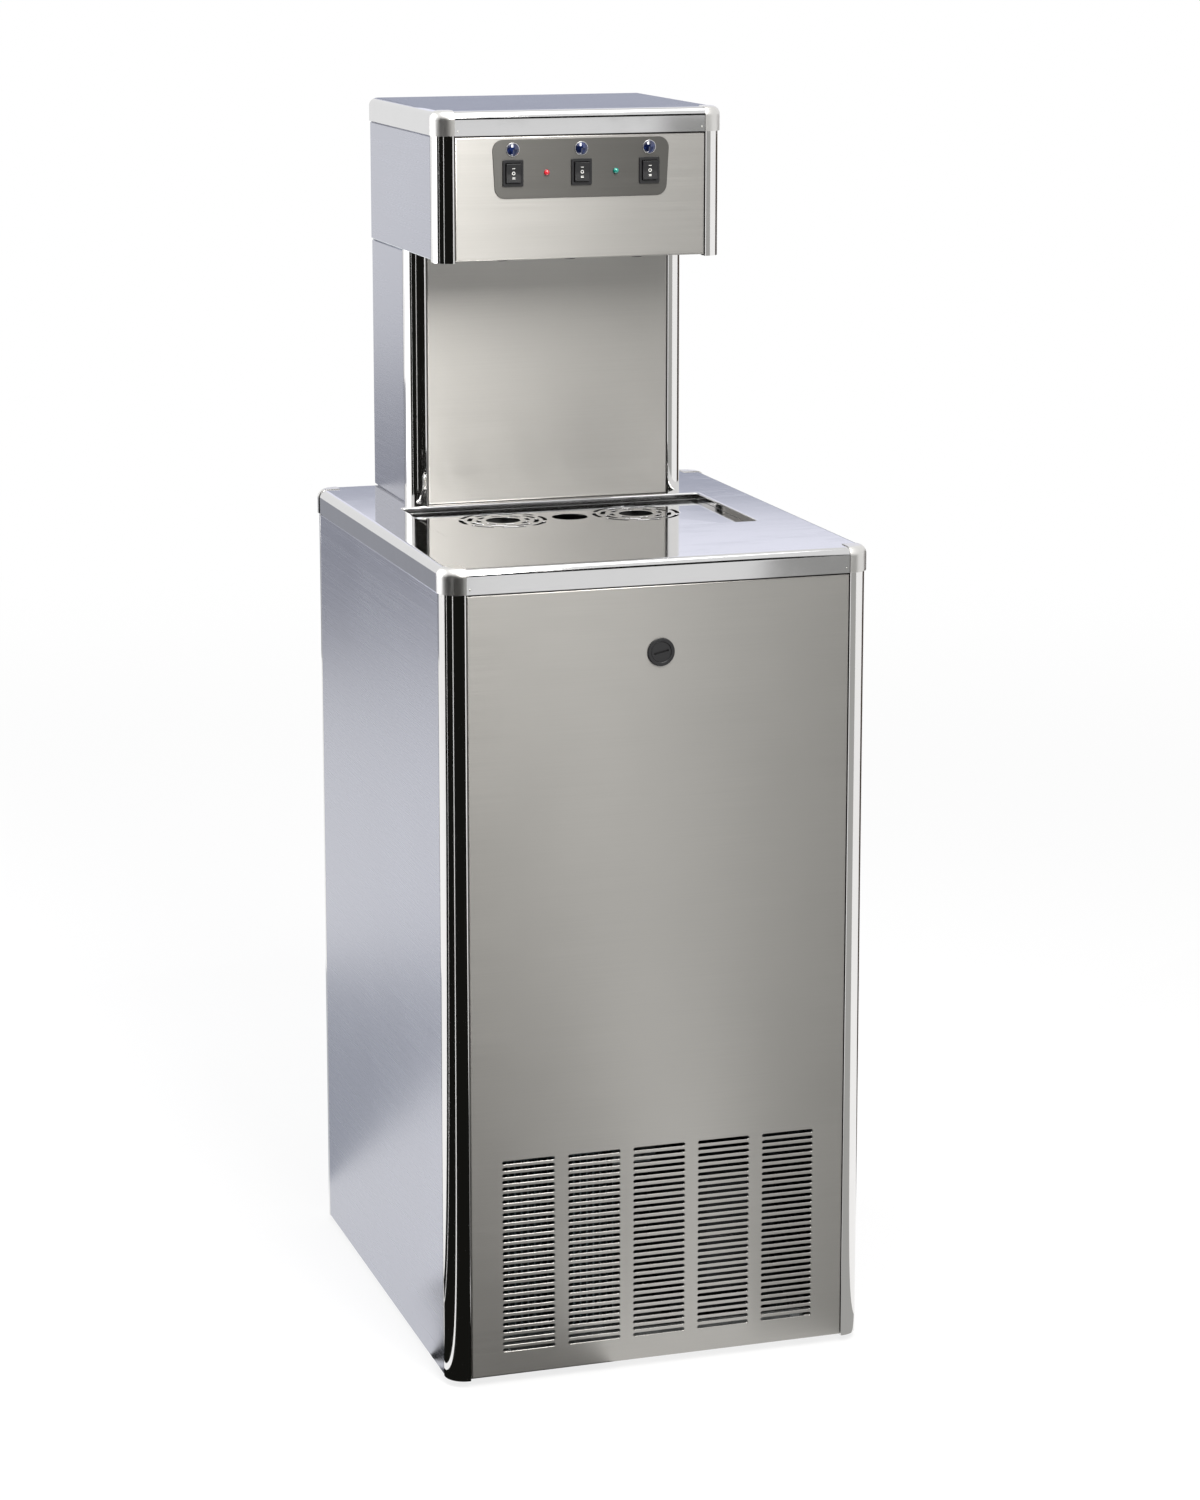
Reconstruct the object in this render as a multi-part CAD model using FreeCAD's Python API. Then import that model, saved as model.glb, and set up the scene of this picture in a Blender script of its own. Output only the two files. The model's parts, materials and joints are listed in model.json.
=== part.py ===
import FreeCAD, Part
import math
import os

# A free-standing water cooler: a sheet steel cabinet with a tower that carries the
# dispensing head. The origin is on the floor, in the middle of the cabinet's plan.
# X is to the right, the front faces -Y and Z is up. All sizes are in millimetres.

V = FreeCAD.Vector

# Driving sizes of the outside
cabinet_width = 512.0
cabinet_depth = 616.0
floor_gap = 10.0
worktop_height = 970.0
tower_width = 355.0
column_depth = 176.0
column_height = 313.5
head_depth = 313.0
head_height = 176.5
head_proud = 1.0
rim_depth = 29.0
rim_radius = 10.0
rim_proud = 1.0
sheet = 1.2
fold_radius = 2.2
seam = 0.8
hem_depth = 25.0

# Fineness of round shapes: a rounded corner has one flat for about each chord's length
corner_chord = 6.0
bend_steps = 2
dish_steps = 3
round_sides = 10
fine_sides = 16

# Corner profiles and the caps on top of them
profile_wall = 1.5
profile_edge = 0.5
profile_flat = 0.3
profile_drop = 2.0
cabinet_profile_radius = 23.7
cabinet_profile_lap = 3.3
cabinet_profile_return = 19.0
tower_profile_radius = 20.2
tower_profile_lap = 6.8
tower_profile_return = 15.0
profile_side_return = 14.0
cap_proud = 2.0
cap_rise = 0.8
cap_wall = 2.5
cap_gap = 0.2
cap_steps = 3
cap_sides = 6

# Panels
panel_gap = 0.5
panel_top_gap = 1.5
pan_depth = 18.0
column_pan_depth = 15.0
top_flange = 20.0
side_return = 14.0
rail_height = 61.0
rail_depth = 27.0
rear_flange = 20.0

# Grille in the front panel
grille_columns = 5
grille_rows = 30
grille_column_pitch = 80.0
grille_row_pitch = 7.9
grille_bottom = 41.0
slot_length = 63.5
slot_height = 4.0

# Lock
lock_height = 862.0
lock_flange_radius = 16.5
lock_flange_depth = 2.0
lock_body_radius = 13.9
lock_body_depth = 15.0
lock_hole_clearance = 0.2
barrel_radius = 12.0
barrel_recess = 0.6
barrel_end = 1.0
running_clearance = 0.05
shank_radius = 6.0
coin_slot_length = 18.0
coin_slot_width = 2.6
coin_slot_depth = 2.2
coin_slot_tilt = 12.0
cam_width = 16.0
cam_reach = 45.0
cam_thickness = 3.0
cam_clearance = 3.8

# Hinge of the front panel: hooks that stand on fixed pins
hinge_inset_x = 66.0
hinge_inset_y = 10.0
hinge_rise = 12.0
hinge_pin_radius = 4.0
hinge_cheek_gap = 24.0
hinge_cheek = 3.0
hinge_cheek_radius = 7.5
hook_width = 12.0
hook_wall = 3.0
hook_height = 26.0
hook_drop = 8.0

# Well in the worktop and the drip plate in it
well_length = 385.0
well_width = 220.0
well_corner = 4.0
well_to_column = 10.0
well_recess = 8.0
well_ledge = 12.0
passage_inset = 60.0
passage_margin = 45.0
plate_thickness = 1.5
plate_gap = 0.5
ring_spacing = 85.0
ring_setback = 80.0
ring_centre_radius = 21.0
ring_first_radius = 30.5
ring_pitch = 10.5
ring_count = 3
ring_slots = 8
ring_slot_width = 5.5
ring_bridge = 9.0
arc_sides = 2
middle_hole_radius = 22.0

# Drip basin and drain
basin_depth = 34.0
basin_flange = 8.0
basin_inset = 2.5
sump_length = 60.0
sump_width = 50.0
drain_x = 130.0
drain_setback = 52.0
spigot_radius = 11.0
spigot_bore = 9.5
spigot_length = 20.0
drain_radius = 10.0
drain_bore = 8.5
drain_bend = 22.0
drain_run_height = 850.0
drain_back_gap = 68.0

# Controls on the head
control_top_width = 223.0
control_bottom_width = 215.0
control_height = 70.0
control_corner = 13.0
control_below_seam = 5.0
control_thickness = 1.0
rocker_drop = 39.7
rocker_pitch = 85.0
bezel_width = 25.5
bezel_height = 31.5
bezel_corner = 2.5
bezel_proud = 2.0
bezel_wall = 1.2
bezel_depth = 14.0
bezel_back = 1.5
cutout_clearance = 0.2
rocker_width = 18.2
rocker_radius = 11.3
rocker_gap = 0.4
rocker_waist = 3.2
rocker_lip = 4.5
rocker_back = 3.0
rocker_pivot_depth = 1.5
rocker_pin_radius = 1.2
rocker_pin_bite = 0.9
dome_drop = 12.0
dome_radius = 8.0
dome_height = 3.4
dome_flange = 1.0
dome_stem_radius = 5.0
dome_steps = 2
led_spacing = 43.0
led_radius = 3.5
led_height = 3.0
led_shoulder = 0.3
stem_depth = 8.0

# Nozzles, tubes and valves
nozzle_radius = 9.0
nozzle_flange_radius = 12.0
nozzle_flange = 3.3
nozzle_drop = 5.5
nozzle_edge = 2.0
nozzle_top = 15.3
nozzle_bore = 3.0
tube_radius = 4.0
pipe_sides = 6
tube_bend = 30.0
tube_socket = 8.0
tube_low_rise = 55.0
tube_high_run = 46.0
tube_back_gap = 88.0
valve_y = -50.0
manifold_width = 30.0
manifold_height = 25.0
valve_radius = 14.0
valve_height = 30.0
valve_stub_radius = 5.5
valve_stub = 10.0

# Floor tray, feet and shelf
tray_lift = 2.0
tray_sheet = 2.0
tray_flange = 25.0
foot_inset = 60.0
foot_pad_radius = 20.0
foot_pad = 8.0
foot_edge = 1.0
foot_stem_radius = 5.0
foot_nut_width = 17.0
foot_nut_gap = 0.5
boss_radius = 9.0
boss_height = 18.0
shelf_height = 300.0
shelf_front_gap = 108.0
shelf_back_gap = 83.0
shelf_flange = 20.0

# Chilled water tank and what is in it
tank_x = -40.0
tank_y = 40.0
tank_size = 300.0
tank_height = 358.0
tank_wall = 25.0
tank_corner = 12.0
lid_thickness = 20.0
lid_plug = 8.0
coil_gap = 7.0
coil_band = 12.0
coil_height = 263.0
carbonator_share = 0.434
carbonator_height = 250.0
carbonator_seam = 0.5
carbonator_gap = 14.0
agitator_gap = 56.0
agitator_shaft_radius = 4.0
agitator_hole_radius = 8.0
agitator_drop = 230.0
agitator_bite = 20.0
agitator_bore_spare = 1.0
impeller_hub_radius = 9.0
impeller_hub_height = 16.0
impeller_share = 0.226
impeller_blades = 4
impeller_blade = 2.0
impeller_pitch = 35.0
agitator_motor_radius = 32.0
agitator_motor_height = 60.0
agitator_flange_radius = 40.0
agitator_flange = 2.0

# Machinery
pump_inset = 71.0
pump_y = -40.0
pump_lift = 58.0
pump_motor_radius = 48.0
pump_motor_length = 120.0
pump_head_radius = 28.0
pump_head_length = 35.0
pump_port_radius = 9.0
pump_port_rise = 12.0
cradle_inset = 10.0
compressor_x = 120.0
compressor_setback = 158.0
compressor_radius = 78.0
compressor_height = 185.0
compressor_seam = 5.0
compressor_base = 150.0
grommet_radius = 10.0
grommet_height = 14.0
condenser_x = -130.0
condenser_width = 170.0
condenser_setback = 36.0
condenser_depth = 40.0
condenser_bottom = 46.0
condenser_top = 258.0
condenser_core = 24.0
condenser_fins = 22
fin_thickness = 1.5
condenser_cover = 3.0
shroud_rise = 12.0
fan_height = 150.0
fan_radius = 70.0
fan_duct_gap = 5.0
fan_duct_length = 27.0
fan_hub_radius = 16.0
fan_hub_length = 16.0
fan_hub_skin = 1.0
fan_gap = 2.0
spider_thickness = 3.0
spider_arm = 6.0
spider_arms = 3
fan_blades_count = 5
fan_root_pitch = 38.0
fan_tip_pitch = 20.0
fan_root_width = 22.0
fan_root_bite = 3.0
fan_tip_width = 36.0
fan_shaft_radius = 4.0
fan_motor_radius = 34.0
fan_motor_length = 55.0
box_width = 64.8
box_setback = 158.0
box_depth = 200.0
box_bottom = 560.0
box_height = 200.0
box_corner = 6.0
knob_height = 700.0
knob_radius = 16.0
knob_depth = 14.0
knob_pointer_inset = 2.0
spindle_radius = 3.0
spindle_length = 10.0
knob_gap = 0.6

# Connections on the rear panel
connection_height = 145.0
water_x = -150.0
gas_x = -90.0
mains_x = 40.0
fitting_nut = 12.0
fitting_flange = 3.0
water_pin_radius = 13.2
water_pin_length = 15.0
water_neck_radius = 12.0
water_flange_radius = 17.0
water_bore_radius = 8.0
gas_pin_radius = 4.0
gas_pin_length = 13.0
gas_neck_radius = 6.0
gas_flange_radius = 10.0
gas_bore_radius = 2.5
drain_pin_length = 15.0
drain_neck_radius = 12.0
drain_flange_radius = 16.0
mains_width = 50.0
mains_height = 28.0
mains_body_width = 27.8
mains_body_height = 20.0
mains_body_depth = 26.0
mains_wall = 1.6
mains_flange = 2.5
mains_blade = 2.0
mains_blade_pitch = 7.0
mains_earth_rise = 3.0
rear_vent_columns = 3
rear_vent_rows = 6
rear_vent_bottom = 760.0
tower_vent_columns = 2
tower_vent_rows = 4

# Places that follow from the sizes above
cabinet_profile_front = cabinet_profile_radius + profile_wall + profile_flat
cabinet_profile_side = cabinet_profile_radius + cabinet_profile_lap
tower_profile_front = tower_profile_radius + profile_wall + profile_flat
tower_profile_side = tower_profile_radius + tower_profile_lap
side_x = cabinet_width / 2
front_y = -cabinet_depth / 2
back_y = cabinet_depth / 2
rim_base = worktop_height - rim_depth
tower_x = tower_width / 2
column_y = back_y - column_depth
head_x = tower_x + head_proud
head_y = back_y - head_depth
column_top = worktop_height + column_height
lid_top = column_top + head_height
lid_base = lid_top - rim_depth
cap_length = cap_proud + cabinet_profile_front + panel_gap
lid_cap_length = cap_proud + tower_profile_front + panel_gap
well_back = column_y - well_to_column
well_front = well_back - well_width
ring_y = well_back - ring_setback
plate_base = worktop_height - well_recess - plate_thickness
ledge_base = plate_base - sheet
tray_y = -front_y - cabinet_profile_side - seam - sheet
tray_base = floor_gap + tray_lift
tray_top = tray_base + tray_sheet
shelf_top = shelf_height + tray_sheet
shelf_front = front_y + shelf_front_gap
shelf_back = back_y - shelf_back_gap
tank_top = shelf_top + tank_height
tank_floor = shelf_top + tank_wall
tank_lid_top = tank_top + lid_thickness
coil_radius = tank_size / 2 - tank_wall - coil_gap
coil_inner = coil_radius - coil_band
carbonator_radius = coil_inner * carbonator_share
carbonator_x = tank_x + carbonator_gap + carbonator_radius - coil_inner
agitator_x = tank_x + coil_inner - agitator_gap
impeller_radius = coil_inner * impeller_share
underside_base = column_top
underside_top = underside_base + sheet
hinge_y = front_y + hinge_inset_y
hinge_z = floor_gap + hinge_rise
rail_y = front_y + cabinet_profile_return
rear_panel_y = -rail_y
control_front = head_y - control_thickness
rocker_z = lid_base - control_below_seam - rocker_drop
dome_z = lid_base - control_below_seam - dome_drop
control_columns = (-rocker_pitch, 0.0, rocker_pitch)
bezel_front = control_front - bezel_proud
rocker_pivot_y = bezel_front + rocker_pivot_depth
rocker_hole_height = 2 * (rocker_radius + rocker_gap)
rocker_hole_width = rocker_width + 2 * rocker_gap
bezel_body_width = rocker_hole_width + 2 * bezel_wall
bezel_body_height = rocker_hole_height + 2 * bezel_wall
drain_y = well_back - drain_setback
sump_z = ledge_base - sheet - basin_depth
compressor_y = front_y + compressor_setback
pump_x = side_x - pump_inset
condenser_front = front_y + condenser_setback
box_front = front_y + box_setback
shroud_y = condenser_front + condenser_depth
fan_motor_y = shroud_y + fan_duct_length
cam_y = rail_y + sheet + cam_clearance

# Turns that bring a flat outline into the plane it is wanted in
TO_YZ = FreeCAD.Rotation(V(1, 1, 1), 120)
TO_XZ = FreeCAD.Rotation(V(1, 0, 0), 90)


def moved(shape, x=0.0, y=0.0, z=0.0):
    return shape.translated(V(x, y, z))


def turned(shape, rotation):
    return shape.transformed(FreeCAD.Placement(V(0, 0, 0), rotation).toMatrix(), True)


def box(x0, x1, y0, y1, z0, z1):
    return Part.makeBox(x1 - x0, y1 - y0, z1 - z0, V(x0, y0, z0))


def bar(radius, sides, y, z, x0, x1):
    """Round bar with flat sides that lies along X."""
    return moved(turned(plate([polygon(0, 0, radius, sides)], x0, x1), TO_YZ), 0, y, z)


def joined(shapes):
    """One solid from shapes that touch or overlap."""
    whole = shapes[0].fuse(shapes[1:]).removeSplitter()
    return whole.Solids[0] if len(whole.Solids) == 1 else whole


def mirrored(shape):
    return shape.mirror(V(0, 0, 0), V(1, 0, 0))


def to_rear(shape):
    return shape.mirror(V(0, 0, 0), V(0, 1, 0))


def corner(before, here, after, radius, chords=None):
    """Points along the arc that rounds one corner of a route, in short chords."""
    if radius == 0:
        return [here]
    back = (before - here).normalize()
    ahead = (after - here).normalize()
    half = back.getAngle(ahead) / 2
    reach = radius / math.tan(half)
    centre = here + (back + ahead).normalize() * (radius / math.sin(half))
    start = here + back * reach - centre
    turn = start.cross(here + ahead * reach - centre).normalize()
    sweep = math.pi - 2 * half
    chords = chords or max(1, round(radius * sweep / corner_chord))
    spots = []
    for k in range(chords + 1):
        angle = sweep * k / chords
        spots.append(centre + start * math.cos(angle) + turn.cross(start) * math.sin(angle))
    return spots


def outline(points, radii=None):
    """Closed flat wire through the points, with each corner rounded by its radius."""
    spots = [V(u, v, 0) for u, v in points]
    if radii is None:
        return Part.makePolygon(spots + spots[:1])
    count = len(spots)
    around = []
    for i, radius in enumerate(radii):
        for spot in corner(spots[i - 1], spots[i], spots[(i + 1) % count], radius):
            if not around or spot.distanceToPoint(around[-1]) > 1e-6:
                around.append(spot)
    if around[-1].distanceToPoint(around[0]) < 1e-6:
        around.pop()
    return Part.makePolygon(around + around[:1])


def rectangle(u0, u1, v0, v1, radius=0.0):
    return outline([(u0, v0), (u1, v0), (u1, v1), (u0, v1)], [radius] * 4)


def polygon(u, v, radius, sides):
    """Regular polygon whose corners lie on the circle."""
    turns = [2 * math.pi * k / sides for k in range(sides)]
    return outline([(u + radius * math.cos(turn), v + radius * math.sin(turn)) for turn in turns])


def clear_radius(radius, sides):
    """Radius to the corners of a polygon hole whose flats stay outside a circle."""
    return radius / math.cos(math.pi / sides)


def slot(u, v, length, height):
    """Long hole centred on a point."""
    return rectangle(u - length / 2, u + length / 2, v - height / 2, v + height / 2)


def arc_slot(u, v, radius, middle_angle, width, bridge, share):
    """Curved hole that takes its share of a ring, less the bridge, in short chords."""
    half_turn = math.pi / share - bridge / (2 * radius)
    spots = []
    for side in (1, -1):
        for k in range(arc_sides + 1):
            angle = middle_angle + side * half_turn * (2 * k / arc_sides - 1)
            r = radius + side * width / 2
            spots.append((u + r * math.cos(angle), v + r * math.sin(angle)))
    return outline(spots)


def plate(wires, start, end, plane="xy"):
    """Plate between two planes, from an outer wire and the wires of its holes."""
    face = Part.makeFace(wires, "Part::FaceMakerBullseye")
    if plane == "xz":
        return turned(moved(face, z=-end).extrude(V(0, 0, end - start)), TO_XZ)
    solid = moved(face, z=start).extrude(V(0, 0, end - start))
    return turned(solid, TO_YZ) if plane == "yz" else solid


def folded(points, thickness, bends):
    """Outline of a folded strip with its metal to the right of the points.

    Each bend is the radius on the outside of that corner.
    """
    spots = [V(u, v, 0) for u, v in points]
    ways = [(b - a).normalize() for a, b in zip(spots, spots[1:])]
    rights = [V(way.y, -way.x, 0) for way in ways]
    inner = [spots[0] + rights[0] * thickness]
    outer_radii = [0.0]
    inner_radii = [0.0]
    for i, radius in enumerate(bends):
        sideways = rights[i] + rights[i + 1]
        inner.append(spots[i + 1] + sideways * (thickness / (1 + rights[i].dot(rights[i + 1]))))
        to_the_right = ways[i].x * ways[i + 1].y - ways[i].y * ways[i + 1].x < 0
        tight = max(radius - thickness, 0.0)
        outer_radii.append(radius if to_the_right else tight)
        inner_radii.append(tight if to_the_right else radius)
    inner.append(spots[-1] + rights[-1] * thickness)
    outer_radii.append(0.0)
    inner_radii.append(0.0)
    around = [(p.x, p.y) for p in spots] + [(p.x, p.y) for p in reversed(inner)]
    return outline(around, outer_radii + inner_radii[::-1])


def flat_face(spots):
    return Part.Face(Part.makePolygon(spots + spots[:1]))


def skin(rings):
    """Solid with flat facets through rings of points, closed by its first and last ring."""
    faces = [flat_face(rings[0]), flat_face(rings[-1])]
    for lower, upper in zip(rings, rings[1:]):
        for i in range(len(lower)):
            a, b, c, d = lower[i - 1], lower[i], upper[i], upper[i - 1]
            if abs((c - a).dot((b - a).cross(d - a))) < 1e-6:
                faces.append(flat_face([a, b, c, d]))
            else:
                faces.append(flat_face([a, b, c]))
                faces.append(flat_face([a, c, d]))
    solid = Part.Solid(Part.Shell(faces))
    if solid.Volume < 0:
        solid.reverse()
    return solid


def faceted(points, sides, x=0.0, y=0.0, z=0.0, rotation=None):
    """Solid of revolution with flat sides about Z, from (radius, height) points up its outside."""
    step = 2 * math.pi / sides
    rings = []
    for r, h in points:
        rings.append([V(r * math.cos(step * k), r * math.sin(step * k), h) for k in range(sides)])
    solid = skin(rings)
    if rotation:
        solid = turned(solid, rotation)
    return moved(solid, x, y, z)


def drum(radius, length, sides, x=0.0, y=0.0, z=0.0, rotation=None):
    return faceted([(radius, 0), (radius, length)], sides, x, y, z, rotation)


def pan(half_width, face_y, depth, z0, z1):
    """Folded tray of sheet, closed at the front and open at the back."""
    outside = box(-half_width, half_width, face_y, face_y + depth, z0, z1)
    inside = box(
        sheet - half_width, half_width - sheet, face_y + sheet, face_y + depth, z0 + sheet, z1 - sheet
    )
    return outside.cut(inside)


def top_edges(solid, height):
    return [e for e in solid.Edges if all(abs(v.Z - height) < 1e-6 for v in e.Vertexes)]


def rounded_block(half_width, y0, y1, base, top, radius):
    block = box(-half_width, half_width, y0, y1, base, top)
    return block.makeFillet(radius, top_edges(block, top))


def rim_shell(half_width, y0, y1, base, top):
    """Top cover with round edges, a skirt and a hem turned in under it."""
    outside = rounded_block(half_width, y0, y1, base, top, rim_radius)
    inside = rounded_block(
        half_width - sheet, y0 + sheet, y1 - sheet, base, top - sheet, rim_radius - sheet
    )
    hem = box(sheet - half_width, half_width - sheet, y0 + sheet, y1 - sheet, base, base + sheet)
    opening = box(
        hem_depth - half_width, half_width - hem_depth, y0 + hem_depth, y1 - hem_depth, base, base + sheet
    )
    return joined([outside.cut(inside), hem.cut(opening)])


def corner_cap(length, radius, height, drop):
    """Cast cap over one corner: its outer corner is at the origin, it lies towards +X and +Y."""

    def ring(inset, level, reach):
        start, sharp, end = V(reach, inset, level), V(inset, inset, level), V(inset, reach, level)
        rounded = corner(start, sharp, end, radius - inset, cap_sides)
        return [V(reach, reach, level), start] + rounded + [end]

    rings = [ring(0, 0, length)]
    for k in range(cap_steps + 1):
        angle = math.pi / 2 * k / cap_steps
        inset = drop * (1 - math.cos(angle))
        rings.append(ring(inset, height - drop + drop * math.sin(angle), length))
    hollow = skin([ring(cap_wall, 0, length + cap_wall), ring(cap_wall, height - drop, length + cap_wall)])
    return skin(rings).cut(hollow)


def corner_profile(front, side, radius, front_return, z0, z1):
    """Extruded corner: its sharp corner would be at the origin, it lies towards +X and +Y."""
    section = folded(
        [(front, front_return), (front, 0), (0, 0), (0, side), (profile_side_return, side)],
        profile_wall,
        [profile_edge, radius, profile_edge],
    )
    return plate([section], z0, z1)


def cabinet_profile_pair():
    profile = corner_profile(
        cabinet_profile_front,
        cabinet_profile_side,
        cabinet_profile_radius,
        cabinet_profile_return,
        floor_gap - profile_drop,
        rim_base,
    )
    left = moved(profile, -side_x, front_y)
    return [left, mirrored(left)]


def tower_profile_pair(half_width, face_y, z0, z1):
    profile = corner_profile(
        tower_profile_front, tower_profile_side, tower_profile_radius, tower_profile_return, z0, z1
    )
    left = moved(profile, -half_width, face_y)
    return [left, mirrored(left)]


def cabinet_side():
    """Left side panel: a flat sheet turned in at the front, the back and the top."""
    end_y = back_y - cabinet_profile_side - seam
    fold = folded(
        [(-side_x, floor_gap), (-side_x, rim_base), (top_flange - side_x, rim_base)], sheet, [fold_radius]
    )
    wall = plate([fold], -end_y, end_y, "xz")
    wall_top = rim_base - fold_radius
    front = box(-side_x, side_return - side_x, -end_y, sheet - end_y, floor_gap, wall_top)
    return joined([wall, front, to_rear(front)])


def column_side():
    """Left side of the column, with flanges that stand on the worktop and carry the head."""
    start_y = column_y + tower_profile_side + seam
    fold = folded(
        [
            (side_return - tower_x, worktop_height),
            (-tower_x, worktop_height),
            (-tower_x, column_top),
            (side_return - tower_x, column_top),
        ],
        sheet,
        [fold_radius, fold_radius],
    )
    inner_base = worktop_height + fold_radius
    inner_top = column_top - fold_radius
    wall = plate([fold], start_y, back_y, "xz")
    front = box(-tower_x, side_return - tower_x, start_y, start_y + sheet, inner_base, inner_top)
    back = box(-tower_x, rear_flange - tower_x, back_y - sheet, back_y, inner_base, inner_top)
    return joined([wall, front, back])


def head_side():
    """Left side of the head, one sheet proud of the column under it."""
    start_y = head_y + tower_profile_side + seam
    base = column_top + seam + panel_gap
    route = [(-head_x, base), (-head_x, lid_base), (top_flange - head_x, lid_base)]
    fold = folded(route, sheet, [fold_radius])
    inner_top = lid_base - fold_radius
    wall = plate([fold], start_y, back_y, "xz")
    front = box(-head_x, side_return - head_x, start_y, start_y + sheet, base, inner_top)
    back = box(-head_x, rear_flange - head_x, back_y - sheet, back_y, base, inner_top)
    return joined([wall, front, back])


def grille_slots():
    first = -(grille_columns - 1) / 2 * grille_column_pitch
    slots = []
    for column in range(grille_columns):
        for row in range(grille_rows):
            x = first + column * grille_column_pitch
            z = grille_bottom + row * grille_row_pitch
            slots.append(slot(x, z, slot_length, slot_height))
    return slots


def hinge_places():
    right = side_x - hinge_inset_x
    return (-right, right)


def hinge_hook(x):
    """Hook on the back of the front panel that stands on its pin and lifts off it."""
    pin_radius = hinge_pin_radius + running_clearance
    face_y = front_y + sheet
    back = hinge_y + pin_radius + hook_wall
    half = hook_width / 2
    base = hinge_z - hook_drop
    block = box(x - half, x + half, face_y, back, base, base + hook_height)
    start = x - hook_width
    end = x + hook_width
    eye = bar(clear_radius(pin_radius, round_sides), round_sides, hinge_y, hinge_z, start, end)
    mouth = box(start, end, hinge_y - pin_radius, hinge_y + pin_radius, floor_gap, hinge_z)
    return block.cut([eye, mouth])


def front_panel():
    """Folded front panel with its grille, its lock hole and its two hinge hooks."""
    half = side_x - cabinet_profile_front - panel_gap
    top = rim_base - panel_top_gap
    folded_edge = pan(half, front_y, pan_depth, floor_gap, top)
    window = box(sheet - half, half - sheet, front_y, front_y + sheet, floor_gap + sheet, top - sheet)
    lock_hole = polygon(0, lock_height, lock_body_radius + lock_hole_clearance, fine_sides)
    outer = rectangle(sheet - half, half - sheet, floor_gap + sheet, top - sheet)
    face = plate([outer, lock_hole] + grille_slots(), front_y, front_y + sheet, "xz")
    reach = hinge_cheek_gap / 2 + 2 * hinge_cheek
    back = front_y + pan_depth
    lip = floor_gap + sheet
    notches = [box(x - reach, x + reach, front_y + sheet, back, floor_gap, lip) for x in hinge_places()]
    hooks = [hinge_hook(x) for x in hinge_places()]
    return joined([folded_edge.cut([window] + notches), face] + hooks)


def lock_bezel():
    """Round housing of the lock: its body goes through the panel, its rim stands on the face."""
    rim = lock_flange_depth / 2
    section = [
        (lock_body_radius, -lock_body_depth),
        (lock_body_radius, 0),
        (lock_flange_radius, 0),
        (lock_flange_radius, rim),
        (lock_flange_radius - rim, lock_flange_depth),
    ]
    bore = clear_radius(barrel_radius + running_clearance, fine_sides)
    body = faceted(section, fine_sides)
    hollow = body.cut(drum(bore, lock_body_depth + lock_flange_depth, fine_sides, z=-lock_body_depth))
    return moved(turned(hollow, TO_XZ), 0, front_y, lock_height)


def lock_barrel():
    """Turning plug of the lock with its coin slot, and the shank that carries the cam."""
    face_y = front_y - lock_flange_depth + barrel_recess
    back = front_y + lock_body_depth + barrel_end
    plug = drum(barrel_radius, back - face_y, fine_sides, 0, back, lock_height, TO_XZ)
    shank_end = cam_y + cam_thickness
    shank = drum(shank_radius, shank_end - front_y, round_sides, 0, shank_end, lock_height, TO_XZ)
    groove = box(
        -coin_slot_length / 2,
        coin_slot_length / 2,
        face_y,
        face_y + coin_slot_depth,
        lock_height - coin_slot_width / 2,
        lock_height + coin_slot_width / 2,
    )
    groove.rotate(V(0, 0, lock_height), V(0, 1, 0), coin_slot_tilt)
    return joined([plug, shank]).cut(groove)


def lock_cam():
    length = cam_reach + cam_width / 2
    lever = slot(cam_width / 2 - length / 2, lock_height, length, cam_width)
    hole = polygon(0, lock_height, shank_radius, round_sides)
    return plate([lever, hole], cam_y, cam_y + cam_thickness, "xz")


def front_rail():
    """Cross rail under the front of the worktop: the lock's cam turns up behind it."""
    section = folded(
        [(rail_y, rim_base - rail_height), (rail_y, rim_base), (rail_y + rail_depth, rim_base)],
        sheet,
        [fold_radius],
    )
    half = side_x - cabinet_profile_front + profile_wall
    return plate([section], -half, half, "yz")


def base_tray():
    """Floor of the cabinet with its turned-up edges, foot bosses and hinge pins."""
    half = side_x - sheet
    wide = half - tray_sheet
    deep = tray_y - tray_sheet
    tray = box(-half, half, -tray_y, tray_y, tray_base, tray_base + tray_flange)
    hollow = box(-wide, wide, -deep, deep, tray_top, tray_base + tray_flange)
    pieces = [tray.cut(hollow)]
    for x in hinge_places():
        for side in (-1, 1):
            inner = x + side * hinge_cheek_gap / 2
            outer = inner + side * hinge_cheek
            pieces.append(hinge_cheek_plate(min(inner, outer), max(inner, outer)))
        pin_half = hinge_cheek_gap / 2
        pieces.append(bar(hinge_pin_radius, round_sides, hinge_y, hinge_z, x - pin_half, x + pin_half))
    for x, y in foot_places():
        pieces.append(drum(boss_radius, boss_height, 6, x, y, tray_top))
    solid = joined(pieces)
    bore = clear_radius(foot_stem_radius + running_clearance, round_sides)
    depth = tray_sheet + boss_height
    return solid.cut([drum(bore, depth, round_sides, x, y, tray_base) for x, y in foot_places()])


def hinge_cheek_plate(x0, x1):
    """Cheek that runs from the floor tray to the hinge pin, its front half a regular octagon's."""
    front = hinge_y - hinge_cheek_radius
    low = hinge_z - hinge_cheek_radius
    high = hinge_z + hinge_cheek_radius
    cut = hinge_cheek_radius * (2 - math.sqrt(2))
    back = tray_sheet - tray_y
    side = outline(
        [
            (front, low + cut),
            (front + cut, low),
            (back, low),
            (back, high),
            (front + cut, high),
            (front, high - cut),
        ]
    )
    return plate([side], x0, x1, "yz")


def foot_places():
    x = side_x - foot_inset
    y = back_y - foot_inset
    return [(-x, -y), (x, -y), (-x, y), (x, y)]


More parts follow.
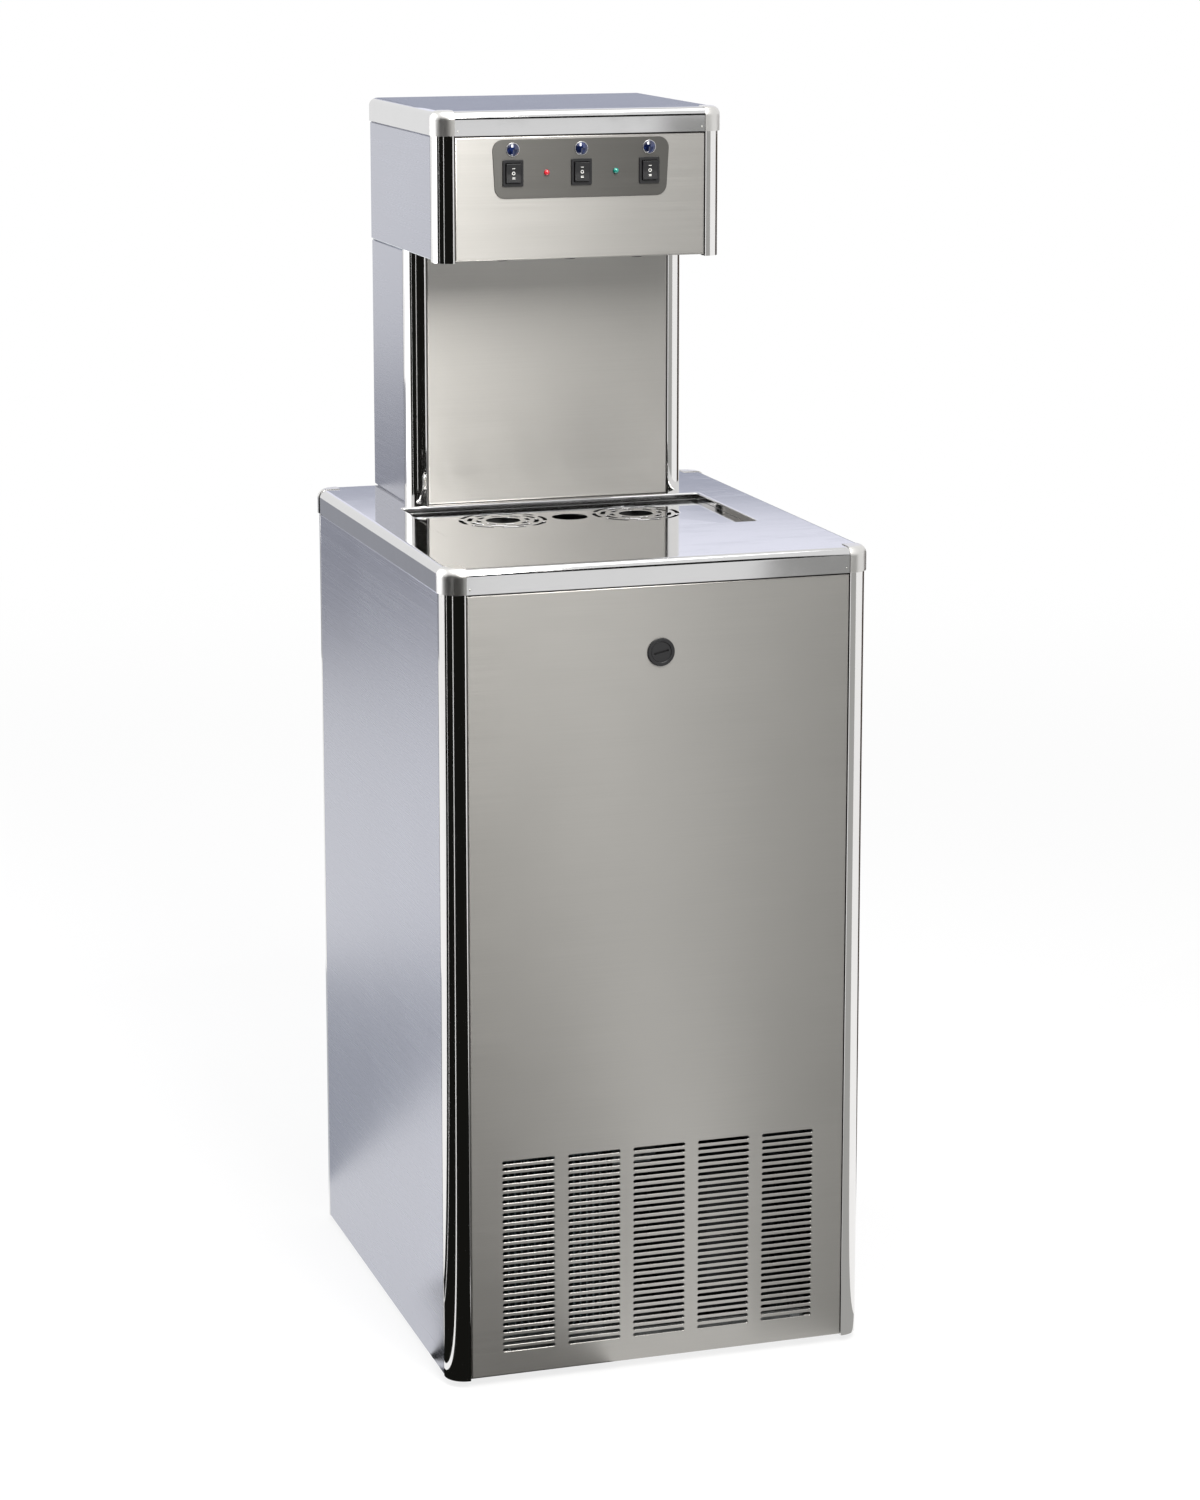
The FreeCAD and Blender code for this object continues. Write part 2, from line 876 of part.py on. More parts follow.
def foot(x, y):
    """Levelling foot: a round pad, a hexagon to turn it by and a stem in the tray's weld nut."""
    section = [
        (foot_pad_radius - foot_edge, 0),
        (foot_pad_radius, foot_edge),
        (foot_pad_radius, foot_pad / 2),
        (foot_nut_width / 2, foot_pad),
    ]
    pad = faceted(section, round_sides, x, y)
    start = foot_pad / 2
    nut_height = tray_base - foot_nut_gap - start
    nut = drum(foot_nut_width / math.sqrt(3), nut_height, 6, x, y, start)
    stem = drum(foot_stem_radius, tray_top + boss_height, round_sides, x, y, start)
    return joined([pad, nut, stem])


def rear_panel():
    """Back of the cabinet, set in between the rear profiles, with its vents and openings."""
    section = folded(
        [(rear_panel_y - rail_depth, rim_base), (rear_panel_y, rim_base), (rear_panel_y, tray_base)],
        sheet,
        [fold_radius],
    )
    half = side_x - cabinet_profile_front + profile_wall
    panel = plate([section], -half, half, "yz")
    inner_y = rear_panel_y - sheet
    holes = vent_slots(rear_vent_columns, rear_vent_rows, rear_vent_bottom)
    necks = ((water_x, water_neck_radius), (gas_x, gas_neck_radius), (drain_x, drain_neck_radius))
    for x, neck_radius in necks:
        holes.append(polygon(x, connection_height, neck_radius + cutout_clearance, round_sides))
    socket_width = mains_body_width + 2 * cutout_clearance
    socket_height = mains_body_height + 2 * cutout_clearance
    holes.append(slot(mains_x, connection_height, socket_width, socket_height))
    return panel.cut([plate([hole], inner_y, rear_panel_y, "xz") for hole in holes])


def vent_slots(columns, rows, bottom):
    """Air slots in the back, twice as high and as far apart as the ones in the front."""
    first = -(columns - 1) / 2 * grille_column_pitch
    slots = []
    for column in range(columns):
        for row in range(rows):
            x = first + column * grille_column_pitch
            slots.append(slot(x, bottom + row * 2 * grille_row_pitch, slot_length, 2 * slot_height))
    return slots


def worktop():
    """Top cover of the cabinet with the well for the drip plate and the way up to the tower."""
    half = side_x + rim_proud
    edge_y = back_y + rim_proud
    shell = rim_shell(half, -edge_y, edge_y, rim_base, worktop_height)
    notch = cap_length - (cap_proud - rim_proud) + cap_gap
    front_left = box(-half, notch - half, -edge_y, notch - edge_y, rim_base, worktop_height)
    front_corners = [front_left, mirrored(front_left)]
    corners = front_corners + [to_rear(one) for one in front_corners]
    half_well = well_length / 2

    def area(margin, radius):
        x = half_well + margin
        return rectangle(-x, x, well_front - margin, well_back + margin, radius)

    outside = area(sheet, well_corner + sheet)
    inside = area(0, well_corner)
    opening = area(-well_ledge, well_corner)
    cup = plate([outside], ledge_base, worktop_height).cut(plate([inside], plate_base, worktop_height))
    cup = cup.cut(plate([opening], ledge_base, plate_base))
    cleared = plate([outside], ledge_base, worktop_height)
    passage_x = tower_x - passage_inset
    passage_front = column_y + passage_margin
    passage_back = back_y - passage_margin
    passage = box(-passage_x, passage_x, passage_front, passage_back, rim_base, worktop_height)
    return joined([shell.cut(corners + [cleared, passage]), cup])


def worktop_caps():
    radius = cabinet_profile_radius + cap_proud
    cap = corner_cap(cap_length, radius, rim_depth + cap_rise, rim_radius + cap_rise)
    front_left = moved(cap, -side_x - cap_proud, front_y - cap_proud, rim_base)
    pair = [front_left, mirrored(front_left)]
    return pair + [to_rear(one) for one in pair]


def lid_caps():
    radius = tower_profile_radius + cap_proud
    cap = corner_cap(lid_cap_length, radius, rim_depth + cap_rise, rim_radius + cap_rise)
    left = moved(cap, -head_x - cap_proud, head_y - cap_proud, lid_base)
    return [left, mirrored(left)]


def head_lid():
    half = head_x + rim_proud
    shell = rim_shell(half, head_y - rim_proud, back_y + rim_proud, lid_base, lid_top)
    notch = lid_cap_length - (cap_proud - rim_proud) + cap_gap
    front = head_y - rim_proud
    left = box(-half, notch - half, front, front + notch, lid_base, lid_top)
    return shell.cut([left, mirrored(left)])


def drip_plate():
    """Loose plate in the well: two ring targets for glasses and a plain middle hole."""
    half = well_length / 2 - plate_gap
    outer = rectangle(-half, half, well_front + plate_gap, well_back - plate_gap, well_corner - plate_gap)
    holes = [polygon(0, ring_y, middle_hole_radius, fine_sides)]
    for x in (-ring_spacing, ring_spacing):
        holes.append(polygon(x, ring_y, ring_centre_radius, fine_sides))
        for ring in range(ring_count):
            radius = ring_first_radius + ring * ring_pitch
            for k in range(ring_slots):
                angle = 2 * math.pi * (k + ring / 2) / ring_slots
                holes.append(arc_slot(x, ring_y, radius, angle, ring_slot_width, ring_bridge, ring_slots))
    return plate([outer] + holes, plate_base, plate_base + plate_thickness)


def frustum(lower, upper, z0, z1):
    """Solid that runs straight from a lower rectangle to an upper one."""

    def ring(x0, x1, y0, y1, z):
        return [V(x0, y0, z), V(x1, y0, z), V(x1, y1, z), V(x0, y1, z)]

    return skin([ring(*lower, z0), ring(*upper, z1)])


def grown(area, margin):
    """Rectangle (x0, x1, y0, y1) made larger by a margin on every side."""
    x0, x1, y0, y1 = area
    return (x0 - margin, x1 + margin, y0 - margin, y1 + margin)


def drip_basin():
    """Sloping basin under the well, down to a spigot for the drain pipe."""
    half = well_length / 2 - well_ledge - basin_inset
    front = well_front + well_ledge + basin_inset
    back = well_back - well_ledge - basin_inset
    flange_z = ledge_base - sheet
    sump_x = sump_length / 2
    sump_y = sump_width / 2
    sump = (drain_x - sump_x, drain_x + sump_x, drain_y - sump_y, drain_y + sump_y)
    wide = (-half, half, front, back)
    outside = frustum(grown(sump, sheet), grown(wide, sheet), sump_z - sheet, flange_z)
    inside = frustum(sump, wide, sump_z, flange_z)
    flange = box(*grown(wide, basin_flange), flange_z, ledge_base)
    spigot = drum(spigot_radius, spigot_length, round_sides, drain_x, drain_y, sump_z - spigot_length)
    solid = joined([outside, flange, spigot])
    bore = drum(spigot_bore, spigot_length, round_sides, drain_x, drain_y, sump_z - spigot_length)
    return solid.cut([inside, box(*wide, flange_z, ledge_base), bore])


def pipe(points, bend_radius, radius, x):
    """Pipe along a route of (y, z) points in one upright plane, its bends in short steps."""
    spots = [V(x, y, z) for y, z in points]
    route = [spots[0]]
    for before, here, after in zip(spots, spots[1:], spots[2:]):
        route.extend(corner(before, here, after, bend_radius, bend_steps))
    route.append(spots[-1])
    ways = [(b - a).normalize() for a, b in zip(route, route[1:])]
    rings = []
    for i, spot in enumerate(route):
        behind = ways[max(i - 1, 0)]
        ahead = ways[min(i, len(ways) - 1)]
        mitre = V(0, -(behind.z + ahead.z), behind.y + ahead.y).normalize()
        stretch = 1 / math.cos(behind.getAngle(ahead) / 2)
        rings.append([])
        for k in range(pipe_sides):
            angle = 2 * math.pi * k / pipe_sides
            across = V(radius * math.cos(angle), 0, 0)
            rings[-1].append(spot + across + mitre * (radius * math.sin(angle) * stretch))
    return skin(rings)


def drain_pipe():
    back_run = back_y - drain_back_gap
    top = sump_z - spigot_length
    outlet_y = rear_panel_y - sheet - fitting_nut
    route = [
        (drain_y, top),
        (drain_y, drain_run_height),
        (back_run, drain_run_height),
        (back_run, connection_height),
        (outlet_y, connection_height),
    ]
    return pipe(route, drain_bend, drain_radius, drain_x)


def dispense_tubes():
    valve_top = tank_lid_top + manifold_height + valve_height + valve_stub
    back_run = back_y - tube_back_gap
    high = underside_top + tube_high_run
    route = [
        (valve_y, valve_top),
        (valve_y, valve_top + tube_low_rise),
        (back_run, valve_top + tube_low_rise),
        (back_run, high),
        (ring_y, high),
        (ring_y, underside_top + nozzle_top - tube_socket),
    ]
    return [pipe(route, tube_bend, tube_radius, x) for x in control_columns]


def nozzles():
    """Outlets in the underside of the head, each with a socket for its tube."""
    section = [
        (nozzle_radius - nozzle_edge, -sheet - nozzle_drop),
        (nozzle_radius, nozzle_edge - sheet - nozzle_drop),
        (nozzle_radius, 0),
        (nozzle_flange_radius, 0),
        (nozzle_flange_radius, nozzle_flange),
        (nozzle_radius, nozzle_flange),
        (nozzle_radius, nozzle_top),
    ]
    whole = faceted(section, round_sides)
    bore_length = sheet + nozzle_drop + nozzle_top
    bore = drum(nozzle_bore, bore_length, pipe_sides, z=-sheet - nozzle_drop)
    socket = drum(tube_radius + running_clearance, tube_socket, pipe_sides, z=nozzle_top - tube_socket)
    nozzle = whole.cut([bore, socket])
    return [moved(nozzle, x, ring_y, underside_top) for x in control_columns]


def valve_block():
    """Manifold with one solenoid valve for each outlet."""
    reach = rocker_pitch + valve_radius + valve_stub_radius
    front = valve_y - manifold_width / 2
    base = tank_lid_top + manifold_height
    pieces = [box(-reach, reach, front, front + manifold_width, tank_lid_top, base)]
    section = [
        (valve_radius, 0),
        (valve_radius, valve_height),
        (valve_stub_radius, valve_height),
        (valve_stub_radius, valve_height + valve_stub),
    ]
    pieces += [faceted(section, round_sides, x, valve_y, base) for x in control_columns]
    return joined(pieces)


def column_front():
    half = tower_x - tower_profile_front - panel_gap
    return pan(half, column_y, column_pan_depth, worktop_height, column_top)


def control_holes():
    """Outlines of the holes that the control plate and the head's front share."""
    half_width = bezel_body_width / 2 + cutout_clearance
    half_height = bezel_body_height / 2 + cutout_clearance
    holes = []
    for x in control_columns:
        holes.append(
            rectangle(x - half_width, x + half_width, rocker_z - half_height, rocker_z + half_height)
        )
        holes.append(polygon(x, dome_z, dome_stem_radius + cutout_clearance, round_sides))
    for x in (-led_spacing, led_spacing):
        holes.append(polygon(x, rocker_z, led_radius, round_sides))
    return holes


def head_front():
    half = head_x - tower_profile_front - panel_gap
    base = column_top - panel_gap
    top = lid_base - panel_top_gap
    shell = pan(half, head_y, pan_depth, base, top)
    return shell.cut([plate([hole], head_y, head_y + sheet, "xz") for hole in control_holes()])


def control_plate():
    top = lid_base - control_below_seam
    base = top - control_height
    outer = outline(
        [
            (-control_bottom_width / 2, base),
            (control_bottom_width / 2, base),
            (control_top_width / 2, top),
            (-control_top_width / 2, top),
        ],
        [control_corner] * 4,
    )
    return plate([outer] + control_holes(), control_front, head_y, "xz")


def upright_box(x, width, height, y0, y1):
    """Box centred on a switch, as wide and high as given, between two depths."""
    return box(x - width / 2, x + width / 2, y0, y1, rocker_z - height / 2, rocker_z + height / 2)


def rocker_bezel(x):
    """Frame of one rocker switch, with a pocket and two pivot holes."""
    half_width = bezel_width / 2
    half_height = bezel_height / 2
    front = rectangle(
        x - half_width, x + half_width, rocker_z - half_height, rocker_z + half_height, bezel_corner
    )
    flange = plate([front], bezel_front, control_front, "xz")
    back = control_front + bezel_depth
    body = upright_box(x, bezel_body_width, bezel_body_height, bezel_front, back)
    pocket = upright_box(x, rocker_hole_width, rocker_hole_height, bezel_front, back - bezel_back)
    reach = rocker_width / 2 + rocker_gap + rocker_pin_bite
    pivot_radius = rocker_pin_radius + running_clearance
    hole_radius = clear_radius(pivot_radius, round_sides)
    pivot = bar(hole_radius, round_sides, rocker_pivot_y, rocker_z, x - reach, x + reach)
    return joined([flange, body]).cut([pocket, pivot])


def rocker_bezels():
    return [rocker_bezel(x) for x in control_columns]


def rocker(x):
    """Rocker of one switch, with a hollow front that rises to its two ends."""
    half = rocker_width / 2
    height = rocker_radius + rocker_gap
    edge = rocker_waist + (rocker_lip - rocker_waist) * height / rocker_radius
    section = outline(
        [
            (rocker_pivot_y - edge, rocker_z + height),
            (rocker_pivot_y - rocker_waist, rocker_z),
            (rocker_pivot_y - edge, rocker_z - height),
            (rocker_pivot_y + rocker_back, rocker_z - height),
            (rocker_pivot_y + rocker_back, rocker_z + height),
        ],
        [0, rocker_radius, 0, 0, 0],
    )
    wedge = plate([section], x - half, x + half, "yz")
    sweep = bar(rocker_radius, fine_sides, rocker_pivot_y, rocker_z, x - half, x + half)
    reach = half + rocker_gap + rocker_pin_bite - running_clearance
    pin = bar(rocker_pin_radius, round_sides, rocker_pivot_y, rocker_z, x - reach, x + reach)
    return joined([wedge.common(sweep), pin])


def dome(radius, height, rim, stem):
    """Round lens with a stem behind it, its back at the origin and its front towards +Z."""
    section = [(stem, -stem_depth), (stem, 0), (radius, 0), (radius, rim)]
    for k in range(1, dome_steps + 1):
        angle = math.pi / 2 * k / (dome_steps + 0.5)
        section.append((radius * math.cos(angle), rim + height * math.sin(angle)))
    return faceted(section, round_sides)


def lamp(shape, x, z):
    return moved(turned(shape, TO_XZ), x, control_front, z)


def indicator_domes():
    shape = dome(dome_radius, dome_height, dome_flange, dome_stem_radius)
    return [lamp(shape, x, dome_z) for x in control_columns]


def led(x):
    return lamp(dome(led_radius, led_height, dome_flange, led_radius - led_shoulder), x, rocker_z)


def head_underside():
    """Floor of the head, open over the column, with the holes for the nozzles."""
    half = head_x - sheet
    front = head_y + pan_depth
    notch_x = head_x - tower_profile_front - panel_gap
    notch_y = head_y + tower_profile_side + seam + sheet
    back = back_y - 2 * sheet
    outer = outline(
        [
            (-notch_x, front),
            (notch_x, front),
            (notch_x, notch_y),
            (half, notch_y),
            (half, back),
            (-half, back),
            (-half, notch_y),
            (-notch_x, notch_y),
        ]
    )
    opening_x = tower_x - tower_profile_front - side_return
    opening = rectangle(-opening_x, opening_x, column_y + column_pan_depth, back - top_flange, well_corner)
    holes = [polygon(x, ring_y, nozzle_radius + cutout_clearance, round_sides) for x in control_columns]
    floor = plate([outer, opening] + holes, underside_base, underside_top)
    wall_top = underside_base + tray_flange
    wall = box(-half, sheet - half, notch_y, back_y - rear_flange, underside_base, wall_top)
    return joined([floor, wall, mirrored(wall)])


def tower_rear():
    """Back of the tower in one sheet, with a few vents behind the head."""
    half = tower_x - side_return - panel_gap
    outer_y = back_y - sheet
    outer = rectangle(-half, half, worktop_height + panel_top_gap, lid_base - panel_top_gap)
    vents = vent_slots(tower_vent_columns, tower_vent_rows, column_top + hem_depth)
    return plate([outer] + vents, outer_y - sheet, outer_y, "xz")


def tank_shelf():
    half = side_x - sheet
    floor = box(-half, half, shelf_front, shelf_back, shelf_height, shelf_top)
    wall = box(-half, tray_sheet - half, shelf_front, shelf_back, shelf_top - shelf_flange, shelf_top)
    return joined([floor, wall, mirrored(wall)])


def tank_plan(inset, radius):
    half = tank_size / 2 - inset
    return rectangle(tank_x - half, tank_x + half, tank_y - half, tank_y + half, radius)


def chill_tank():
    inner_corner = tank_corner / 2
    block = plate([tank_plan(0, tank_corner)], shelf_top, tank_top)
    return block.cut(plate([tank_plan(tank_wall, inner_corner)], tank_floor, tank_top))


def tank_lid():
    cover = plate([tank_plan(0, tank_corner)], tank_top, tank_lid_top)
    plug = plate([tank_plan(tank_wall + panel_gap, tank_corner / 2)], tank_top - lid_plug, tank_top)
    depth = lid_plug + lid_thickness
    hole = drum(agitator_hole_radius, depth, round_sides, agitator_x, tank_y, tank_top - lid_plug)
    return joined([cover, plug]).cut(hole)


def evaporator_coil():
    """The coil as the sleeve that its close turns fill, standing on the tank's floor."""
    outer = drum(coil_radius, coil_height, fine_sides, tank_x, tank_y, tank_floor)
    inner = drum(coil_inner, coil_height, fine_sides, tank_x, tank_y, tank_floor)
    return outer.cut(inner)


def vessel(radius, height, rise, lip):
    """Points up the side of an upright vessel with dished ends and a lip about its middle."""
    start = math.pi / 6
    lower = []
    for k in range(dish_steps + 1):
        angle = start + (math.pi / 2 - start) * k / dish_steps
        lower.append((radius * math.sin(angle), rise * (1 - math.cos(angle) / math.cos(start))))
    upper = [(r, height - h) for r, h in reversed(lower)]
    middle = height / 2
    out = radius + lip
    belt = [(radius, middle - lip), (out, middle - lip), (out, middle), (radius, middle + lip)]
    return lower + belt + upper


def carbonator():
    section = vessel(carbonator_radius, carbonator_height, carbonator_radius / 3, carbonator_seam)
    return faceted(section, round_sides, carbonator_x, tank_y, tank_floor)


def agitator_motor():
    section = [
        (agitator_flange_radius, 0),
        (agitator_flange_radius, agitator_flange),
        (agitator_motor_radius, agitator_flange),
        (agitator_motor_radius, agitator_motor_height),
    ]
    body = faceted(section, round_sides, agitator_x, tank_y, tank_lid_top)
    bore = clear_radius(agitator_shaft_radius + running_clearance, round_sides)
    depth = agitator_bite + agitator_bore_spare
    return body.cut(drum(bore, depth, round_sides, agitator_x, tank_y, tank_lid_top))


def agitator_impeller():
    """Shaft that hangs from the motor into the tank, with a small bladed impeller."""
    x = agitator_x
    base = tank_top - agitator_drop
    pieces = [
        drum(agitator_shaft_radius, tank_lid_top + agitator_bite - base, round_sides, x, tank_y, base),
        drum(impeller_hub_radius, impeller_hub_height, round_sides, x, tank_y, base),
    ]
    blade_half = impeller_hub_height / 2 - impeller_blade
    middle = base + impeller_hub_height / 2
    for k in range(impeller_blades):
        thick = impeller_blade / 2
        blade = box(agitator_shaft_radius, impeller_radius, -thick, thick, -blade_half, blade_half)
        blade.rotate(V(0, 0, 0), V(1, 0, 0), impeller_pitch)
        blade.rotate(V(0, 0, 0), V(0, 0, 1), 360 / impeller_blades * k)
        pieces.append(moved(blade, x, tank_y, middle))
    return joined(pieces)


def water_pump():
    """Motor-driven pump lying on its cradle on the shelf."""
    z = shelf_top + pump_lift
    back = pump_y + pump_motor_length
    section = [
        (pump_head_radius, 0),
        (pump_head_radius, pump_head_length),
        (pump_motor_radius, pump_head_length),
        (pump_motor_radius, pump_head_length + pump_motor_length),
    ]
    body = faceted([(r, -h) for r, h in section], round_sides, pump_x, pump_y - pump_head_length, z, TO_XZ)
    left = pump_x - pump_head_radius
    right = pump_x + pump_head_radius
    cradle = box(left, right, pump_y + cradle_inset, back - cradle_inset, shelf_top, z)
    port_y = pump_y - pump_head_length / 2
    port = drum(pump_port_radius, pump_head_radius + pump_port_rise, pipe_sides, pump_x, port_y, z)
    return joined([body, cradle, port])


def compressor():
    """Sealed compressor: two deep-drawn shells on a base plate with rubber mounts."""
    seat = tray_top + grommet_height
    base_top = seat + plate_thickness
    half = compressor_base / 2
    x = compressor_x
    y = compressor_y
    section = vessel(compressor_radius, compressor_height, compressor_radius / 2, compressor_seam)
    pieces = [faceted(section, fine_sides, x, y, seat)]
    pieces.append(box(x - half, x + half, y - half, y + half, seat, base_top))
    for sx in (-1, 1):
        for sy in (-1, 1):
            foot_x = x + sx * (half - grommet_radius)
            foot_y = y + sy * (half - grommet_radius)
            pieces.append(drum(grommet_radius, grommet_height, pipe_sides, foot_x, foot_y, tray_top))
    return joined(pieces)


def condenser():
    """Finned block behind the grille: a core with thin upright fins in front of it."""
    left = condenser_x - condenser_width / 2
    right = left + condenser_width
    front = condenser_front
    pitch = (condenser_width - fin_thickness) / (condenser_fins - 1)
    core_front = shroud_y - condenser_core
    pieces = [
        box(left, right, core_front, shroud_y, condenser_bottom, condenser_top),
        box(left, right, front, shroud_y, condenser_bottom - condenser_cover, condenser_bottom),
        box(left, right, front, shroud_y, condenser_top, condenser_top + condenser_cover),
    ]
    for k in range(condenser_fins):
        x = left + k * pitch
        pieces.append(box(x, x + fin_thickness, front, core_front, condenser_bottom, condenser_top))
    return joined(pieces)


def fan_shroud():
    """Sheet behind the condenser with the fan's duct and the spider that holds the motor."""
    left = condenser_x - condenser_width / 2
    duct_inner = fan_radius + fan_duct_gap
    duct_outer = duct_inner + tray_sheet
    top = condenser_top + shroud_rise
    sheet_back = shroud_y + tray_sheet
    board = box(left, left + condenser_width, shroud_y, sheet_back, tray_top, top)
    duct = drum(duct_outer, fan_duct_length, fine_sides, condenser_x, fan_motor_y, fan_height, TO_XZ)
    bore = drum(duct_inner, fan_duct_length, fine_sides, condenser_x, fan_motor_y, fan_height, TO_XZ)
    spider_front = fan_motor_y - spider_thickness
    hub = drum(fan_hub_radius, spider_thickness, round_sides, condenser_x, fan_motor_y, fan_height, TO_XZ)
    arms = []
    reach = (duct_inner + duct_outer) / 2
    for k in range(spider_arms):
        arm = box(0, reach, spider_front, fan_motor_y, -spider_arm / 2, spider_arm / 2)
        arm.rotate(V(0, 0, 0), V(0, 1, 0), 90 + 360 / spider_arms * k)
        arms.append(moved(arm, condenser_x, 0, fan_height))
    eye_radius = fan_shaft_radius + tray_sheet
    eye = drum(eye_radius, spider_thickness, round_sides, condenser_x, fan_motor_y, fan_height, TO_XZ)
    solid = joined([joined([board, duct]).cut(bore), hub] + arms)
    return solid.cut(eye)


def fan_back():
    """Back face of the fan's hub, just clear of the spider."""
    return fan_motor_y - spider_thickness - fan_gap


def fan_motor():
    motor_back = fan_motor_y + fan_motor_length
    body = drum(fan_motor_radius, fan_motor_length, round_sides, condenser_x, motor_back, fan_height, TO_XZ)
    length = fan_motor_y - fan_back() + fan_hub_length - fan_hub_skin
    shaft = drum(fan_shaft_radius, length, round_sides, condenser_x, fan_motor_y, fan_height, TO_XZ)
    return joined([body, shaft])


def fan_blade():
    """One twisted blade along +X for a fan that turns about Y."""
    root = fan_hub_radius - fan_root_bite

    def section(radius, width, pitch):
        around = V(0, math.sin(math.radians(pitch)), math.cos(math.radians(pitch)))
        across = V(0, around.z, -around.y)
        middle = V(radius, 0, 0)
        corners = ((-1, -1), (1, -1), (1, 1), (-1, 1))
        return [middle + around * (a * width / 2) + across * (b * sheet / 2) for a, b in corners]

    root_ring = section(root, fan_root_width, fan_root_pitch)
    return skin([root_ring, section(fan_radius, fan_tip_width, fan_tip_pitch)])


def fan_blades():
    back = fan_back()
    middle = back - fan_hub_length / 2
    pieces = [drum(fan_hub_radius, fan_hub_length, round_sides, condenser_x, back, fan_height, TO_XZ)]
    for k in range(fan_blades_count):
        blade = fan_blade()
        blade.rotate(V(0, 0, 0), V(0, 1, 0), 360 / fan_blades_count * k)
        pieces.append(moved(blade, condenser_x, middle, fan_height))
    bore_radius = clear_radius(fan_shaft_radius + running_clearance, round_sides)
    depth = fan_hub_length - fan_hub_skin + running_clearance
    bore = drum(bore_radius, depth, round_sides, condenser_x, back, fan_height, TO_XZ)
    return joined(pieces).cut(bore)


def knob_x():
    return side_x - sheet - box_width / 2


def electrical_box():
    """Box for the relays and the thermostat, fixed to the inside of the right panel."""
    outer_x = side_x - sheet
    plan = rectangle(outer_x - box_width, outer_x, box_front, box_front + box_depth, box_corner)
    body = plate([plan], box_bottom, box_bottom + box_height)
    spindle = drum(spindle_radius, spindle_length, round_sides, knob_x(), box_front, knob_height, TO_XZ)
    return joined([body, spindle])


def thermostat_knob():
    back = box_front - knob_gap
    grip = drum(knob_radius, knob_depth, round_sides, knob_x(), back, knob_height, TO_XZ)
    x = knob_x()
    front = back - knob_depth
    pointer_top = knob_height + knob_radius - knob_pointer_inset
    pointer = box(x - sheet, x + sheet, front - sheet, front, knob_height, pointer_top)
    bore_radius = clear_radius(spindle_radius + running_clearance, round_sides)
    bore = drum(bore_radius, spindle_length, round_sides, x, back, knob_height, TO_XZ)
    return joined([grip, pointer]).cut(bore)


def bulkhead(x, pin_radius, pin_length, neck_radius, flange_radius, bore_radius):
    """Fitting through the rear panel: a hexagon nut inside, a flange and a pin outside."""
    nut = drum(flange_radius, fitting_nut, 6, z=-sheet - fitting_nut)
    neck = drum(neck_radius, sheet + fitting_flange, round_sides, z=-sheet)
    flange = drum(flange_radius, fitting_flange, round_sides)
    pin = Part.makeCylinder(pin_radius, pin_length + fitting_flange)
    whole = joined([nut, neck, flange, pin])
    depth = sheet + fitting_nut + fitting_flange + pin_length
    hollow = whole.cut(drum(bore_radius, depth, round_sides, z=-sheet - fitting_nut))
    return moved(to_rear(turned(hollow, TO_XZ)), x, rear_panel_y, connection_height)


def rear_fittings():
    water_necks = (water_neck_radius, water_flange_radius, water_bore_radius)
    gas_necks = (gas_neck_radius, gas_flange_radius, gas_bore_radius)
    drain_necks = (drain_neck_radius, drain_flange_radius, drain_bore)
    return [
        bulkhead(water_x, water_pin_radius, water_pin_length, *water_necks),
        bulkhead(gas_x, gas_pin_radius, gas_pin_length, *gas_necks),
        bulkhead(drain_x, drain_radius, drain_pin_length, *drain_necks),
    ]


def mains_inlet():
    """Inlet for a plugged mains lead: a flanged shell with three contact blades."""
    front = rear_panel_y + mains_flange
    floor = rear_panel_y - mains_body_depth

    def block(width, height, y0, y1, x=mains_x, z=connection_height):
        return box(x - width / 2, x + width / 2, y0, y1, z - height / 2, z + height / 2)

    flange = block(mains_width, mains_height, rear_panel_y, front)
    body = block(mains_body_width, mains_body_height, floor, front)
    recess = block(
        mains_body_width - 2 * mains_wall, mains_body_height - 2 * mains_wall, floor + 2 * mains_wall, front
    )
    blades = []
    drop = -mains_earth_rise / 3
    for dx, dz in ((-mains_blade_pitch, drop), (0, mains_earth_rise), (mains_blade_pitch, drop)):
        x = mains_x + dx
        z = connection_height + dz
        blades.append(block(mains_blade, 2 * mains_blade, floor + mains_wall, rear_panel_y, x, z))
    return joined([joined([flange, body]).cut(recess)] + blades)


def write(name, shapes):
    """Writes one node: a single solid, or a group of separate solids."""
    if isinstance(shapes, list):
        shapes = Part.makeCompound(shapes)
    shapes.exportStep(f"parts/{name}.step")


